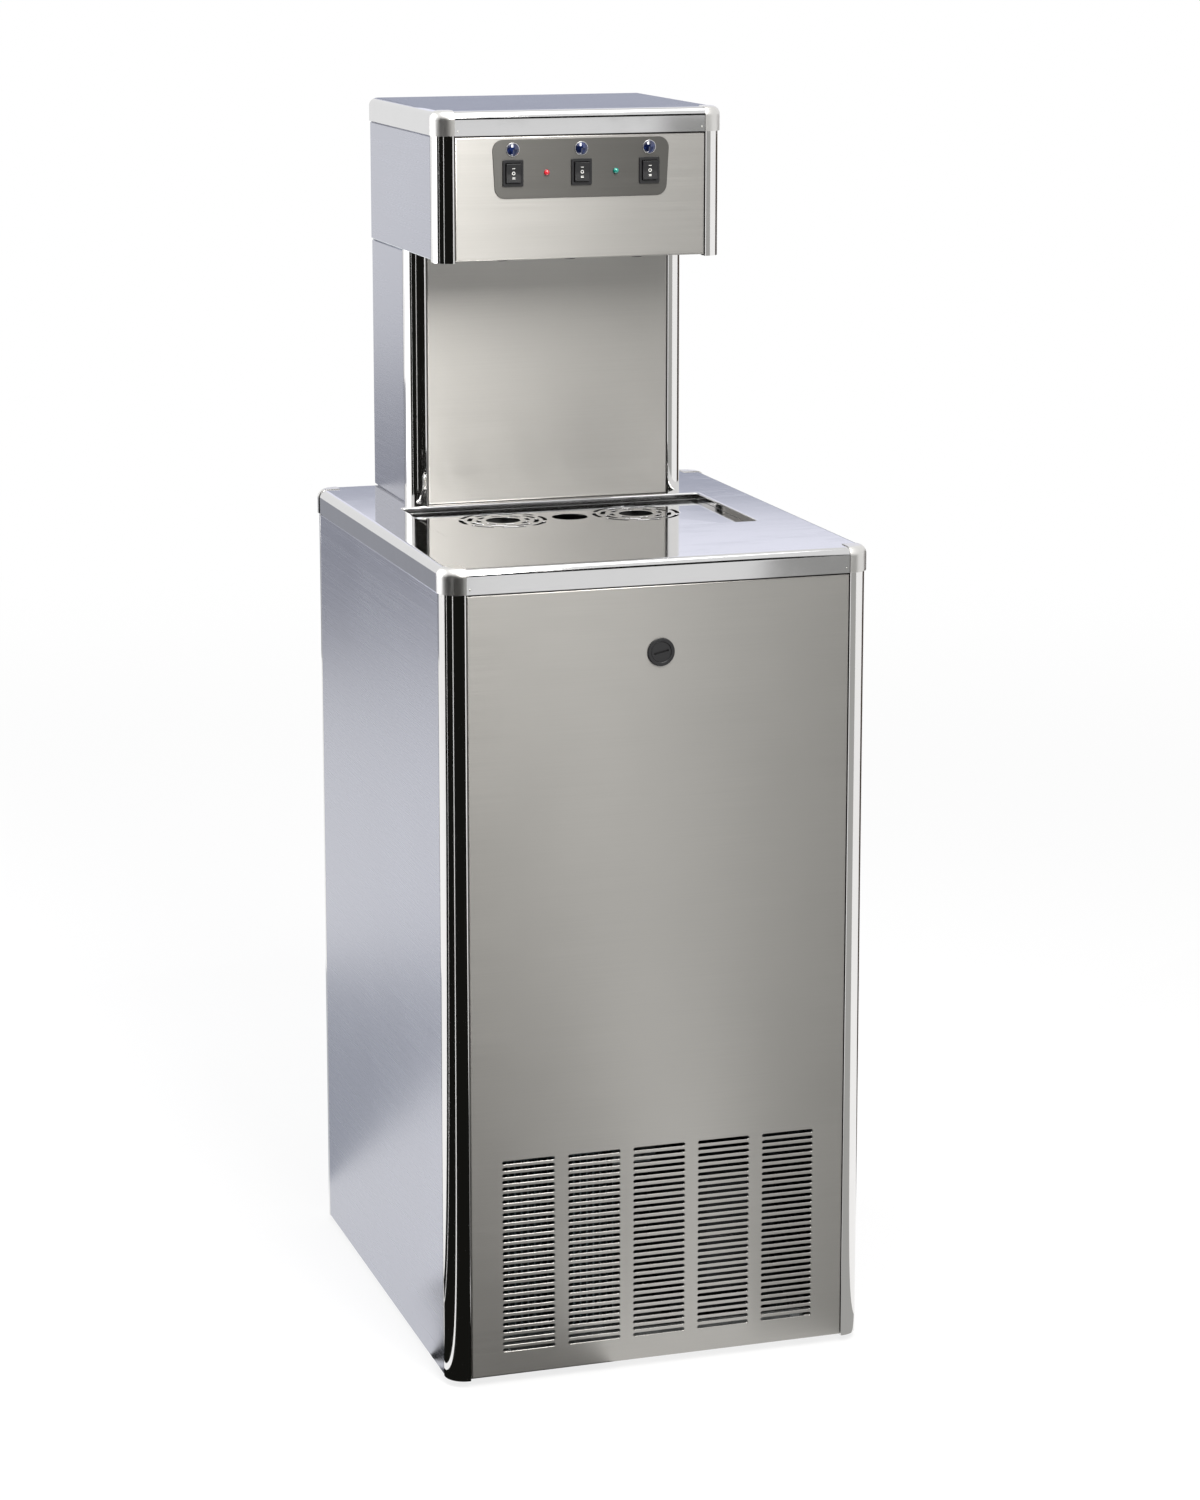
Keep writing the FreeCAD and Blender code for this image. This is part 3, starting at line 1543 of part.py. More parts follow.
def main():
    os.makedirs("parts", exist_ok=True)
    front_profiles = cabinet_profile_pair()
    left_side = cabinet_side()
    left_column_side = column_side()
    left_head_side = head_side()
    nodes = {
        "base_tray": base_tray(),
        "side_panel_left": left_side,
        "side_panel_right": mirrored(left_side),
        "corner_profiles_front": front_profiles,
        "corner_profiles_rear": [to_rear(one) for one in front_profiles],
        "rear_panel": rear_panel(),
        "front_rail": front_rail(),
        "front_panel": front_panel(),
        "lock_bezel": lock_bezel(),
        "lock_barrel": lock_barrel(),
        "lock_cam": lock_cam(),
        "worktop": worktop(),
        "worktop_corner_caps": worktop_caps(),
        "drip_plate": drip_plate(),
        "drip_basin": drip_basin(),
        "drain_pipe": drain_pipe(),
        "column_front_panel": column_front(),
        "column_side_left": left_column_side,
        "column_side_right": mirrored(left_column_side),
        "column_profiles": tower_profile_pair(tower_x, column_y, worktop_height, column_top),
        "tower_rear_panel": tower_rear(),
        "head_front_panel": head_front(),
        "head_side_left": left_head_side,
        "head_side_right": mirrored(left_head_side),
        "head_profiles": tower_profile_pair(head_x, head_y, column_top - panel_gap - profile_drop, lid_base),
        "head_underside": head_underside(),
        "head_lid": head_lid(),
        "lid_corner_caps": lid_caps(),
        "control_plate": control_plate(),
        "rocker_bezels": rocker_bezels(),
        "rocker_left": rocker(-rocker_pitch),
        "rocker_middle": rocker(0.0),
        "rocker_right": rocker(rocker_pitch),
        "indicator_domes": indicator_domes(),
        "led_red": led(-led_spacing),
        "led_green": led(led_spacing),
        "nozzles": nozzles(),
        "dispense_tubes": dispense_tubes(),
        "valve_block": valve_block(),
        "tank_shelf": tank_shelf(),
        "chill_tank": chill_tank(),
        "tank_lid": tank_lid(),
        "evaporator_coil": evaporator_coil(),
        "carbonator": carbonator(),
        "agitator_motor": agitator_motor(),
        "agitator_impeller": agitator_impeller(),
        "water_pump": water_pump(),
        "compressor": compressor(),
        "condenser": condenser(),
        "fan_shroud": fan_shroud(),
        "fan_motor": fan_motor(),
        "fan_blades": fan_blades(),
        "electrical_box": electrical_box(),
        "thermostat_knob": thermostat_knob(),
        "rear_fittings": rear_fittings(),
        "mains_inlet": mains_inlet(),
    }
    places = ("front_left", "front_right", "rear_left", "rear_right")
    for place, (x, y) in zip(places, foot_places()):
        nodes[f"foot_{place}"] = foot(x, y)
    for name, shapes in nodes.items():
        write(name, shapes)


main()
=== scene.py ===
"""Finishes, fine detail, studio and camera for the water cooler."""

import json
import math

import bmesh
import bpy
from mathutils import Matrix, Vector


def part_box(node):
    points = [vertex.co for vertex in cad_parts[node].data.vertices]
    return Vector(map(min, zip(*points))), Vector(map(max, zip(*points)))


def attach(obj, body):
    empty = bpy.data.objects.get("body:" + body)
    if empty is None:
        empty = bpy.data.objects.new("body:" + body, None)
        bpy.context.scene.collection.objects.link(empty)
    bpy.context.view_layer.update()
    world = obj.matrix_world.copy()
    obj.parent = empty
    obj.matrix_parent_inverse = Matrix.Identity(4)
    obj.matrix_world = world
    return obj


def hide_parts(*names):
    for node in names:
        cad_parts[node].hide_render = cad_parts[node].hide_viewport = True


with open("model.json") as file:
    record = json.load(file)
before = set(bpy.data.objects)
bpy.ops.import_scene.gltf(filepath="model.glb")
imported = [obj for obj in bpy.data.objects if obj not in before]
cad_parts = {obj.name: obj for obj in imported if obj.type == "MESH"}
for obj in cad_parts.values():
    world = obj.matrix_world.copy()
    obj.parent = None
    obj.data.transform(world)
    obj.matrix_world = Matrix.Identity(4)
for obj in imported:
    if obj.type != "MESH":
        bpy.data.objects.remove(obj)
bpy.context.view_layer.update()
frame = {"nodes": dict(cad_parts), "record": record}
mm = 0.001


# Shader sums

class Signal:
    """A socket of a material's node tree that takes part in sums."""

    def __init__(self, finish, socket):
        self.finish = finish
        self.socket = socket

    def sum_with(self, operation, first, second):
        node = self.finish.node("ShaderNodeMath", {"operation": operation}, {0: first, 1: second})
        return Signal(self.finish, node.outputs[0])

    def __add__(self, other):
        return self.sum_with("ADD", self, other)

    def __sub__(self, other):
        return self.sum_with("SUBTRACT", self, other)

    def __mul__(self, other):
        return self.sum_with("MULTIPLY", self, other)

    def ramp(self, low, high):
        """0 below low, 1 above high, smooth between."""
        settings = {"interpolation_type": "SMOOTHSTEP"}
        values = {"Value": self, "From Min": low, "From Max": high}
        return Signal(self.finish, self.finish.node("ShaderNodeMapRange", settings, values).outputs[0])


class Finish:
    """A procedural material with one Principled surface."""

    def __init__(self, name, colour, roughness, metallic=0.0):
        self.material = bpy.data.materials.new(name)
        self.material.use_nodes = True
        self.tree = self.material.node_tree
        self.tree.nodes.clear()
        output = self.tree.nodes.new("ShaderNodeOutputMaterial")
        self.surface = self.tree.nodes.new("ShaderNodeBsdfPrincipled")
        self.tree.links.new(self.surface.outputs[0], output.inputs["Surface"])
        self.set("Base Color", (*colour, 1.0))
        self.set("Roughness", roughness)
        self.set("Metallic", metallic)
        self.coordinates = self.tree.nodes.new("ShaderNodeTexCoord").outputs["Object"]

    def set(self, socket, value):
        self.feed(self.surface.inputs[socket], value)

    def feed(self, socket, value):
        if isinstance(value, Signal):
            value = value.socket
        if isinstance(value, bpy.types.NodeSocket):
            self.tree.links.new(value, socket)
        else:
            socket.default_value = value

    def node(self, kind, settings, inputs):
        node = self.tree.nodes.new(kind)
        for name, value in settings.items():
            setattr(node, name, value)
        for name, value in inputs.items():
            self.feed(node.inputs[name], value)
        return node

    def stretched(self, scale):
        settings = {"operation": "MULTIPLY"}
        return self.node("ShaderNodeVectorMath", settings, {0: self.coordinates, 1: scale}).outputs[0]

    def noise(self, scale, detail=2.0, roughness=0.5):
        """Noise of the object's own space: scale is a number, or one for each axis, per metre."""
        vector = self.coordinates
        if isinstance(scale, tuple):
            vector = self.stretched(scale)
            scale = 1.0
        values = {"Vector": vector, "Scale": scale, "Detail": detail, "Roughness": roughness}
        return Signal(self, self.node("ShaderNodeTexNoise", {}, values).outputs[0])

    def grains(self, scale):
        values = {"Vector": self.coordinates, "Scale": scale}
        return Signal(self, self.node("ShaderNodeTexVoronoi", {}, values).outputs["Color"])

    def blend(self, share, first, second):
        """Colour that goes from the first to the second as share goes from 0 to 1."""
        node = self.node("ShaderNodeMix", {"data_type": "RGBA"}, {0: share})
        self.feed(node.inputs[6], first if not isinstance(first, tuple) else (*first, 1.0))
        self.feed(node.inputs[7], second if not isinstance(second, tuple) else (*second, 1.0))
        return node.outputs[2]

    def bump(self, height, strength, distance):
        values = {"Height": height, "Strength": strength, "Distance": distance}
        self.set("Normal", self.node("ShaderNodeBump", {}, values).outputs[0])


def shade(colour, factor):
    return tuple(channel * factor for channel in colour)


def brushed(name, colour, roughness, grain, depth=0.05):
    """Brushed sheet: grain is the noise scale along each axis, low along the brush lines."""
    finish = Finish(name, colour, roughness, 1.0)
    finish.set("Anisotropic", 0.8)
    finish.set("Anisotropic Rotation", 0.25)
    lines = finish.noise(grain, 3.0, 0.6)
    clouds = finish.noise(5.0, 3.0)
    streaks = lines * 0.55 + clouds * 0.45
    finish.set("Base Color", finish.blend(streaks, shade(colour, 0.9), shade(colour, 1.1)))
    finish.set("Roughness", (lines - 0.5) * 0.12 + (clouds - 0.5) * 0.04 + roughness)
    finish.bump(lines, depth, 0.0004)
    return finish.material


def polished(name, colour, roughness):
    """Polished sheet with faint waves and wipe marks."""
    finish = Finish(name, colour, roughness, 1.0)
    wipes = finish.noise((14.0, 60.0, 14.0), 4.0, 0.65)
    waves = finish.noise(7.0, 1.0)
    finish.set("Base Color", finish.blend(wipes, shade(colour, 0.96), shade(colour, 1.03)))
    finish.set("Roughness", wipes.ramp(0.45, 0.8) * 0.05 + roughness)
    finish.bump(waves, 0.02, 0.002)
    return finish.material


def plated(name, colour, roughness):
    """Zinc or galvanised sheet with its crystal grains."""
    finish = Finish(name, colour, roughness, 1.0)
    spangle = finish.grains(90.0)
    dust = finish.noise(24.0, 4.0)
    finish.set("Base Color", finish.blend(spangle, shade(colour, 0.86), shade(colour, 1.1)))
    finish.set("Roughness", (spangle - 0.5) * 0.08 + dust * 0.08 + roughness)
    finish.bump(dust, 0.05, 0.001)
    return finish.material


def painted(name, colour, roughness):
    """Stoved paint with its orange peel and a little dust."""
    finish = Finish(name, colour, roughness)
    peel = finish.noise(700.0, 2.0)
    dust = finish.noise(18.0, 5.0)
    finish.set("Base Color", finish.blend(dust.ramp(0.45, 0.75), colour, shade(colour, 1.35)))
    finish.set("Roughness", dust * 0.14 + roughness)
    finish.bump(peel, 0.12, 0.0003)
    return finish.material


def moulded(name, colour, roughness, fine=1500.0):
    """Moulded plastic with a fine eroded grain."""
    finish = Finish(name, colour, roughness)
    erosion = finish.noise(fine, 2.0)
    marks = finish.noise(30.0, 4.0)
    finish.set("Base Color", finish.blend(marks, shade(colour, 0.92), shade(colour, 1.12)))
    finish.set("Roughness", (marks - 0.5) * 0.12 + erosion * 0.06 + roughness)
    finish.bump(erosion, 0.1, 0.0002)
    return finish.material


def lens(name, colour, glow):
    """Tinted lens: a slightly uneven deep colour, lighter by the glow, under a hard gloss."""
    finish = Finish(name, colour, 0.08)
    depth = finish.noise(160.0, 2.0)
    finish.set("Base Color", finish.blend(depth.ramp(0.35, 0.7), shade(colour, 0.7), shade(colour, glow)))
    finish.set("Roughness", depth * 0.06 + 0.04)
    finish.set("Coat Weight", 1.0)
    finish.surface.inputs["Coat Roughness"].default_value = 0.03
    return finish.material


# One finish for each of the record's slots

def front_steel():
    return brushed("front_steel", (0.41, 0.4, 0.38), 0.4, (6.0, 500.0, 900.0))


# Same steel as the front sheet in a darker, bluish tone: painted reflection and shade of the bluish light
# falling on the sides.
def side_steel():
    return brushed("side_steel", (0.4, 0.41, 0.475), 0.26, (400.0, 5.0, 700.0), 0.015)


def polished_steel():
    return polished("polished_steel", (0.82, 0.81, 0.80), 0.06)


def cap_steel():
    return polished("cap_steel", (0.68, 0.67, 0.65), 0.32)


def worktop_steel():
    return polished("worktop_steel", (0.65, 0.648, 0.65), 0.07)


def control_steel():
    return brushed("control_steel", (0.12, 0.117, 0.11), 0.4, (8.0, 500.0, 900.0))


def galvanised_steel():
    return plated("galvanised_steel", (0.5, 0.52, 0.53), 0.42)


def black_plastic():
    return moulded("black_plastic", (0.012, 0.012, 0.013), 0.28)


def lock_metal():
    return painted("lock_metal", (0.012, 0.012, 0.013), 0.3)


def zinc():
    return plated("zinc", (0.62, 0.62, 0.58), 0.34)


def blue_lens():
    return lens("blue_lens", (0.004, 0.008, 0.035), 2.6)


def red_lens():
    return lens("red_lens", (0.5, 0.02, 0.03), 1.6)


def green_lens():
    return lens("green_lens", (0.004, 0.14, 0.11), 2.0)


def hose_plastic():
    return moulded("hose_plastic", (0.7, 0.73, 0.74), 0.3)


def valve_brass():
    return plated("valve_brass", (0.6, 0.42, 0.17), 0.32)


def foam_plastic():
    return moulded("foam_plastic", (0.62, 0.62, 0.59), 0.7, 260.0)


def copper_tube():
    return plated("copper_tube", (0.62, 0.29, 0.16), 0.3)


def stainless_vessel():
    return brushed("stainless_vessel", (0.55, 0.55, 0.54), 0.3, (300.0, 300.0, 8.0))


def motor_paint():
    return painted("motor_paint", (0.09, 0.1, 0.11), 0.4)


def compressor_paint():
    return painted("compressor_paint", (0.02, 0.022, 0.024), 0.32)


# Aluminium fins coloured far darker than the bare metal: painted shade inside the cabinet behind the grille.
def fin_aluminium():
    return brushed("fin_aluminium", (0.13, 0.16, 0.17), 0.45, (60.0, 60.0, 300.0))


def grey_plastic():
    return moulded("grey_plastic", (0.3, 0.31, 0.32), 0.5)


def socket_plastic():
    return moulded("socket_plastic", (0.015, 0.015, 0.017), 0.45)


def fitting_steel():
    return brushed("fitting_steel", (0.6, 0.6, 0.58), 0.28, (300.0, 10.0, 300.0))


def foot_rubber():
    return moulded("foot_rubber", (0.02, 0.02, 0.02), 0.75, 500.0)


slot_finishes = (
    front_steel, side_steel, polished_steel, cap_steel, worktop_steel, control_steel, galvanised_steel,
    black_plastic, lock_metal, zinc, blue_lens, red_lens, green_lens, hose_plastic, valve_brass,
    foam_plastic, copper_tube, stainless_vessel, motor_paint, compressor_paint, fin_aluminium,
    grey_plastic, socket_plastic, fitting_steel, foot_rubber,
)


def finish_nodes():
    """Gives every solid the finish of its slot, and returns the finishes by name."""
    finishes = {make.__name__: make() for make in slot_finishes}
    for part in frame["record"]["subparts"]:
        solid = frame["nodes"][part["node"]]
        solid.data.materials.clear()
        solid.data.materials.append(finishes[part["material_slot"]])
    return finishes


finishes = finish_nodes()


def white_print():
    return moulded("white_print", (0.75, 0.75, 0.72), 0.5)


# Outlines

def arc(centre, radius, start, end, steps):
    """Points of an arc between two angles in degrees, both ends included."""
    turns = [math.radians(start + (end - start) * k / steps) for k in range(steps + 1)]
    return [(centre[0] + radius * math.cos(turn), centre[1] + radius * math.sin(turn)) for turn in turns]


def rounded_outline(corners, radius, grow=0.0, steps=6):
    """Outline of a convex shape, its corners listed anticlockwise, rounded and then grown."""
    points = []
    for i, corner in enumerate(corners):
        here = Vector(corner)
        before = (here - Vector(corners[i - 1])).normalized()
        after = (Vector(corners[(i + 1) % len(corners)]) - here).normalized()
        first = Vector((before.y, -before.x))
        last = Vector((after.y, -after.x))
        centre = here - (first + last) * (radius / (1.0 + first.dot(last)))
        start = math.degrees(math.atan2(first.y, first.x))
        turn = math.degrees(first.angle(last))
        points += arc(centre, radius + grow, start, start + turn, steps)
    return points


def rectangle(half_width, half_height, centre=(0.0, 0.0)):
    """Corners of a rectangle, anticlockwise."""
    x, y = centre
    return [
        (x - half_width, y - half_height),
        (x + half_width, y - half_height),
        (x + half_width, y + half_height),
        (x - half_width, y + half_height),
    ]


def circle(centre, radius, steps=48):
    return arc(centre, radius, 0.0, 360.0, steps)[:-1]


def round_edge(x, y, radius, steps=48):
    """Outline of a round hole or rim, as a function of its growth."""
    return lambda grow: circle((x, y), radius + grow, steps)


def long_slot(centre, length, height, grow, steps=5):
    """Slot with round ends."""
    reach = (length - height) / 2
    radius = height / 2 + grow
    right = arc((centre[0] + reach, centre[1]), radius, -90.0, 90.0, steps)
    return right + arc((centre[0] - reach, centre[1]), radius, 90.0, 270.0, steps)


def curved_slot(centre, radius, middle, half_turn, width, grow):
    """Slot with round ends along a ring, its middle and half its turn in degrees."""
    reach = half_turn - math.degrees(width / 2 / radius)
    half = width / 2 + grow
    ends = arc(centre, radius, middle - reach, middle + reach, 1)
    points = arc(centre, radius + half, middle - reach, middle + reach, 6)
    points += arc(ends[1], half, middle + reach, middle + reach + 180.0, 5)[1:-1]
    points += arc(centre, radius - half, middle + reach, middle - reach, 6)
    points += arc(ends[0], half, middle - reach + 180.0, middle - reach + 360.0, 5)[1:-1]
    return points


# Mesh steps

# Turns that make a shape drawn in X and Y face the front, the back or the right
to_front = Matrix.Rotation(math.pi / 2, 4, "X")
to_back = Matrix.Rotation(math.pi, 4, "Z") @ to_front
to_right = Matrix(((0, 0, 1, 0), (1, 0, 0, 0), (0, 1, 0, 0), (0, 0, 0, 1)))

# How close points in one plane lie, and the turn over which an edge looks sharp
near = 0.1 * mm
crease = math.radians(32.0)


def ring(mesh, points, level):
    """Closed chain of edges through the points of an outline."""
    spots = [mesh.verts.new((u, v, level)) for u, v in points]
    return [mesh.edges.new(pair) for pair in zip(spots, spots[1:] + spots[:1])]


def wall(mesh, outline, levels):
    """Wall round an outline through (grow, level) steps; returns its first and last ring."""
    rings = [ring(mesh, outline(grow), level) for grow, level in levels]
    for upper, lower in zip(rings, rings[1:]):
        bmesh.ops.bridge_loops(mesh, edges=upper + lower)
    return rings[0], rings[-1]


def rim_steps(thickness, lip=0.0):
    """(grow, level) steps down the outer edge of a sheet, its front corner broken by the lip."""
    if not lip:
        return [(0.0, 0.0), (0.0, -thickness)]
    return [(-lip, 0.0), (0.0, -lip), (0.0, -thickness)]


def hole_steps(thickness, lip=0.0):
    """The same steps down the wall of a hole, which the broken corner widens."""
    return [(-grow, level) for grow, level in rim_steps(thickness, lip)]


def pierced(rim, rim_levels, holes, hole_levels):
    """Sheet that faces +Z, from the outline of its rim and those of its holes."""
    mesh = bmesh.new()
    ends = [wall(mesh, rim, rim_levels)]
    ends += [wall(mesh, hole, hole_levels) for hole in holes]
    for side in range(2):
        edges = [edge for pair in ends for edge in pair[side]]
        bmesh.ops.triangle_fill(mesh, use_beauty=True, use_dissolve=False, edges=edges)
    return mesh


def slab(outline, thickness):
    """Block under level 0 with one outline."""
    return pierced(outline, rim_steps(thickness), [], [])


def block(mesh, low, high):
    """Adds a box between two corners and returns its vertices."""
    low = Vector(low)
    high = Vector(high)
    place = Matrix.Translation((low + high) / 2) @ Matrix.Diagonal((*(high - low), 1.0))
    return bmesh.ops.create_cube(mesh, size=1.0, matrix=place)["verts"]


def lathe(section, steps=48):
    """Turns (radius, height) points about Z."""
    mesh = bmesh.new()
    spots = [mesh.verts.new((radius, 0.0, height)) for radius, height in section]
    edges = [mesh.edges.new(pair) for pair in zip(spots, spots[1:])]
    bmesh.ops.spin(
        mesh, geom=spots + edges, cent=(0.0, 0.0, 0.0), axis=(0.0, 0.0, 1.0), angle=2 * math.pi,
        steps=steps, use_merge=True,
    )
    bmesh.ops.remove_doubles(mesh, verts=mesh.verts, dist=1e-6)
    return mesh


def edges_where(mesh, test):
    return [edge for edge in mesh.edges if all(test(vert.co) for vert in edge.verts)]


def upright_edges(mesh, x, y):
    return edges_where(mesh, lambda co: abs(co.x - x) < near and abs(co.y - y) < near)


def rounded(mesh, edges, radius, steps):
    bmesh.ops.bevel(
        mesh, geom=edges, offset=radius, offset_type="OFFSET", segments=steps, profile=0.5,
        affect="EDGES", material=-1,
    )


def softened(mesh, radius, steps=2):
    """Rounds every edge that turns by more than 60 degrees."""
    limit = math.radians(60.0)
    sharp = [edge for edge in mesh.edges if edge.is_manifold and edge.calc_face_angle() > limit]
    rounded(mesh, sharp, radius, steps)
    return mesh


def moved(mesh, place):
    if not isinstance(place, Matrix):
        place = Matrix.Translation(place)
    bmesh.ops.transform(mesh, matrix=place, verts=mesh.verts)
    return mesh


def gathered(parts):
    """One mesh from several."""
    whole = bmesh.new()
    for part in parts:
        data = bpy.data.meshes.new("part")
        part.to_mesh(data)
        part.free()
        whole.from_mesh(data)
        bpy.data.meshes.remove(data)
    return whole


def solid_copy(node):
    """Merged copy of a solid's mesh."""
    mesh = bmesh.new()
    mesh.from_mesh(frame["nodes"][node].data)
    bmesh.ops.remove_doubles(mesh, verts=mesh.verts, dist=1e-6)
    bmesh.ops.dissolve_limit(
        mesh, angle_limit=math.radians(0.5), verts=mesh.verts, edges=mesh.edges, delimit={"NORMAL"}
    )
    return mesh


def piece(name, mesh, body, finish, replaced=()):
    """Makes a mesh a named piece that rides on a body; edges sharper than the crease stay sharp."""
    bmesh.ops.remove_doubles(mesh, verts=mesh.verts, dist=1e-6)
    bmesh.ops.recalc_face_normals(mesh, faces=mesh.faces)
    if mesh.calc_volume(signed=True) < 0:
        bmesh.ops.reverse_faces(mesh, faces=mesh.faces)
    for face in mesh.faces:
        face.smooth = True
    for edge in mesh.edges:
        edge.smooth = edge.is_manifold and edge.calc_face_angle() < crease
    data = bpy.data.meshes.new(name)
    mesh.to_mesh(data)
    mesh.free()
    thing = bpy.data.objects.new(name, data)
    bpy.context.scene.collection.objects.link(thing)
    data.materials.append(finish)
    even = thing.modifiers.new("even normals", "WEIGHTED_NORMAL")
    even.keep_sharp = True
    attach(thing, body)
    if replaced:
        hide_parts(*replaced)
    return thing


def dressed(name, mesh, body, slot, replaced=()):
    """Piece with the finish of its own slot."""
    return piece(name, mesh, body, finishes[slot], replaced)


# Corner profiles: extruded quarter rounds with a lip along each side

profile_wall = 1.5 * mm
profile_edge = 0.5 * mm
profile_return = 14.0 * mm
cabinet_radius = 23.7 * mm
cabinet_front = 25.5 * mm
cabinet_side = 27.0 * mm
tower_radius = 20.2 * mm
tower_front = 22.0 * mm
tower_side = 27.0 * mm


def corner_profile(front, side, radius, front_return, base, top):
    """Profile whose sharp corner would be at the origin, towards +X and +Y."""
    mesh = bmesh.new()
    route = [(front, front_return), (front, 0.0), (0.0, 0.0), (0.0, side), (profile_return, side)]
    spots = [mesh.verts.new((x, y, base)) for x, y in route]
    edges = [mesh.edges.new(pair) for pair in zip(spots, spots[1:])]
    raised = bmesh.ops.extrude_edge_only(mesh, edges=edges)["geom"]
    lifted = [part for part in raised if isinstance(part, bmesh.types.BMVert)]
    bmesh.ops.translate(mesh, verts=lifted, vec=(0.0, 0.0, top - base))
    rounded(mesh, upright_edges(mesh, 0.0, 0.0), radius, 16)
    rounded(mesh, upright_edges(mesh, front, 0.0), profile_edge, 2)
    rounded(mesh, upright_edges(mesh, 0.0, side), profile_edge, 2)
    bmesh.ops.recalc_face_normals(mesh, faces=mesh.faces)
    lead = min(mesh.faces, key=lambda face: face.calc_center_median().length)
    inward = lead.normal.x + lead.normal.y > 0
    bmesh.ops.solidify(mesh, geom=mesh.faces, thickness=-profile_wall if inward else profile_wall)
    return mesh


def at_corner(mesh, x, y, rear):
    """Puts a mesh made for the corner at -X and -Y on any corner."""
    turn = Matrix.Diagonal((-math.copysign(1.0, x), -1.0 if rear else 1.0, 1.0, 1.0))
    return moved(mesh, Matrix.Translation((x, y, 0.0)) @ turn)


def profiles(name, node, front, side, radius, front_return, rear=False):
    low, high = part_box(node)
    y = high.y if rear else low.y
    pair = [
        at_corner(corner_profile(front, side, radius, front_return, low.z, high.z), x, y, rear)
        for x in (low.x, high.x)
    ]
    dressed(name, gathered(pair), "cabinet", "polished_steel", [node])


def add_profiles():
    cabinet_return = 19.0 * mm
    tower_return = 15.0 * mm
    cabinet = (cabinet_front, cabinet_side, cabinet_radius, cabinet_return)
    tower = (tower_front, tower_side, tower_radius, tower_return)
    profiles("front_profiles", "corner_profiles_front", *cabinet)
    profiles("rear_profiles", "corner_profiles_rear", *cabinet, rear=True)
    profiles("column_corners", "column_profiles", *tower)
    profiles("head_corners", "head_profiles", *tower)


# Cast caps on the corners of the worktop and the lid

cap_wall = 2.5 * mm
cap_edge = 10.8 * mm
cap_proud = 2.0 * mm
cap_lap = 0.5 * mm


def corner_cap(length, radius, height):
    """Cap whose sharp corner would be at the origin, towards +X and +Y."""
    mesh = bmesh.new()
    block(mesh, (0.0, 0.0, 0.0), (length, length, height))
    rounded(mesh, upright_edges(mesh, 0.0, 0.0), radius, 14)
    top = edges_where(mesh, lambda co: abs(co.z - height) < near)
    inner = [edge for edge in top if all(abs(v.co.x - length) < near for v in edge.verts)]
    inner += [edge for edge in top if all(abs(v.co.y - length) < near for v in edge.verts)]
    rounded(mesh, [edge for edge in top if edge not in inner], cap_edge, 10)

    def open_side(face):
        low = all(vert.co.z < near for vert in face.verts)
        right = all(vert.co.x > length - near for vert in face.verts)
        return low or right or all(vert.co.y > length - near for vert in face.verts)

    bmesh.ops.delete(mesh, geom=[face for face in mesh.faces if open_side(face)], context="FACES")
    bmesh.ops.recalc_face_normals(mesh, faces=mesh.faces)
    top_face = max(mesh.faces, key=lambda face: face.calc_center_median().z)
    outward = top_face.normal.z > 0
    bmesh.ops.solidify(mesh, geom=mesh.faces, thickness=cap_wall if outward else -cap_wall)
    return mesh


def caps(name, node, front, radius, ends):
    """Caps on the left and right corners of each end, which is True for the rear."""
    low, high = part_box(node)
    length = cap_proud + front + cap_lap
    parts = []
    for x in (low.x, high.x):
        for rear in ends:
            cap = corner_cap(length, radius + cap_proud, high.z - low.z)
            at_corner(cap, x, high.y if rear else low.y, rear)
            parts.append(moved(cap, (0.0, 0.0, low.z)))
    dressed(name, gathered(parts), "cabinet", "cap_steel", [node])


def add_caps():
    caps("worktop_caps", "worktop_corner_caps", cabinet_front, cabinet_radius, (False, True))
    caps("lid_caps", "lid_corner_caps", tower_front, tower_radius, (False,))


# Covers and flat panels with their folded edges smooth

well_round = 2.6 * mm
sheet = 1.2 * mm
sheet_fold = 2.2 * mm


def well_rim(mesh):
    """Upper edge of the drip well, in a copy of the worktop."""
    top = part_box("worktop")[1].z
    plate_low, plate_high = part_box("drip_plate")
    reach = 6.0 * mm

    def on_rim(co):
        across = plate_low.x - reach < co.x < plate_high.x + reach
        along = plate_low.y - reach < co.y < plate_high.y + reach
        return abs(co.z - top) < near / 2 and across and along

    return [edge for edge in edges_where(mesh, on_rim) if edge.calc_face_angle(0.0) > math.radians(60.0)]


def add_covers():
    cover = solid_copy("worktop")
    rounded(cover, well_rim(cover), well_round, 5)
    dressed("worktop_cover", cover, "cabinet", "worktop_steel", ["worktop"])
    dressed("lid_cover", solid_copy("head_lid"), "cabinet", "worktop_steel", ["head_lid"])


def folded_steps(depth):
    """(grow, level) steps over the folded edge of a sheet, from its face round to its back."""
    turns = [math.pi / 2 * k / 4 for k in range(5)]
    outside = [(-sheet_fold * (1 - math.sin(turn)), sheet_fold * (math.cos(turn) - 1)) for turn in turns]
    tight = sheet_fold - sheet
    inside = [
        (-sheet - tight * (1 - math.sin(turn)), -sheet + tight * (math.cos(turn) - 1)) for turn in turns
    ]
    slope = 0.1 * mm
    return outside + [(0.0, -depth), (-sheet, slope - depth)] + inside[::-1]


def folded_panel(node, depth, holes=(), lip=0.0):
    """Tray of folded sheet that stands where a front panel's solid is."""
    low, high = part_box(node)
    centre = (0.0, (low.z + high.z) / 2)
    half_height = (high.z - low.z) / 2

    def rim(grow):
        return rectangle(high.x + grow, half_height + grow, centre)

    mesh = pierced(rim, folded_steps(depth), holes, hole_steps(sheet, lip))
    return moved(mesh, Matrix.Translation((0.0, low.y, 0.0)) @ to_front)


# Front panel: grille, lock hole and hinge hooks

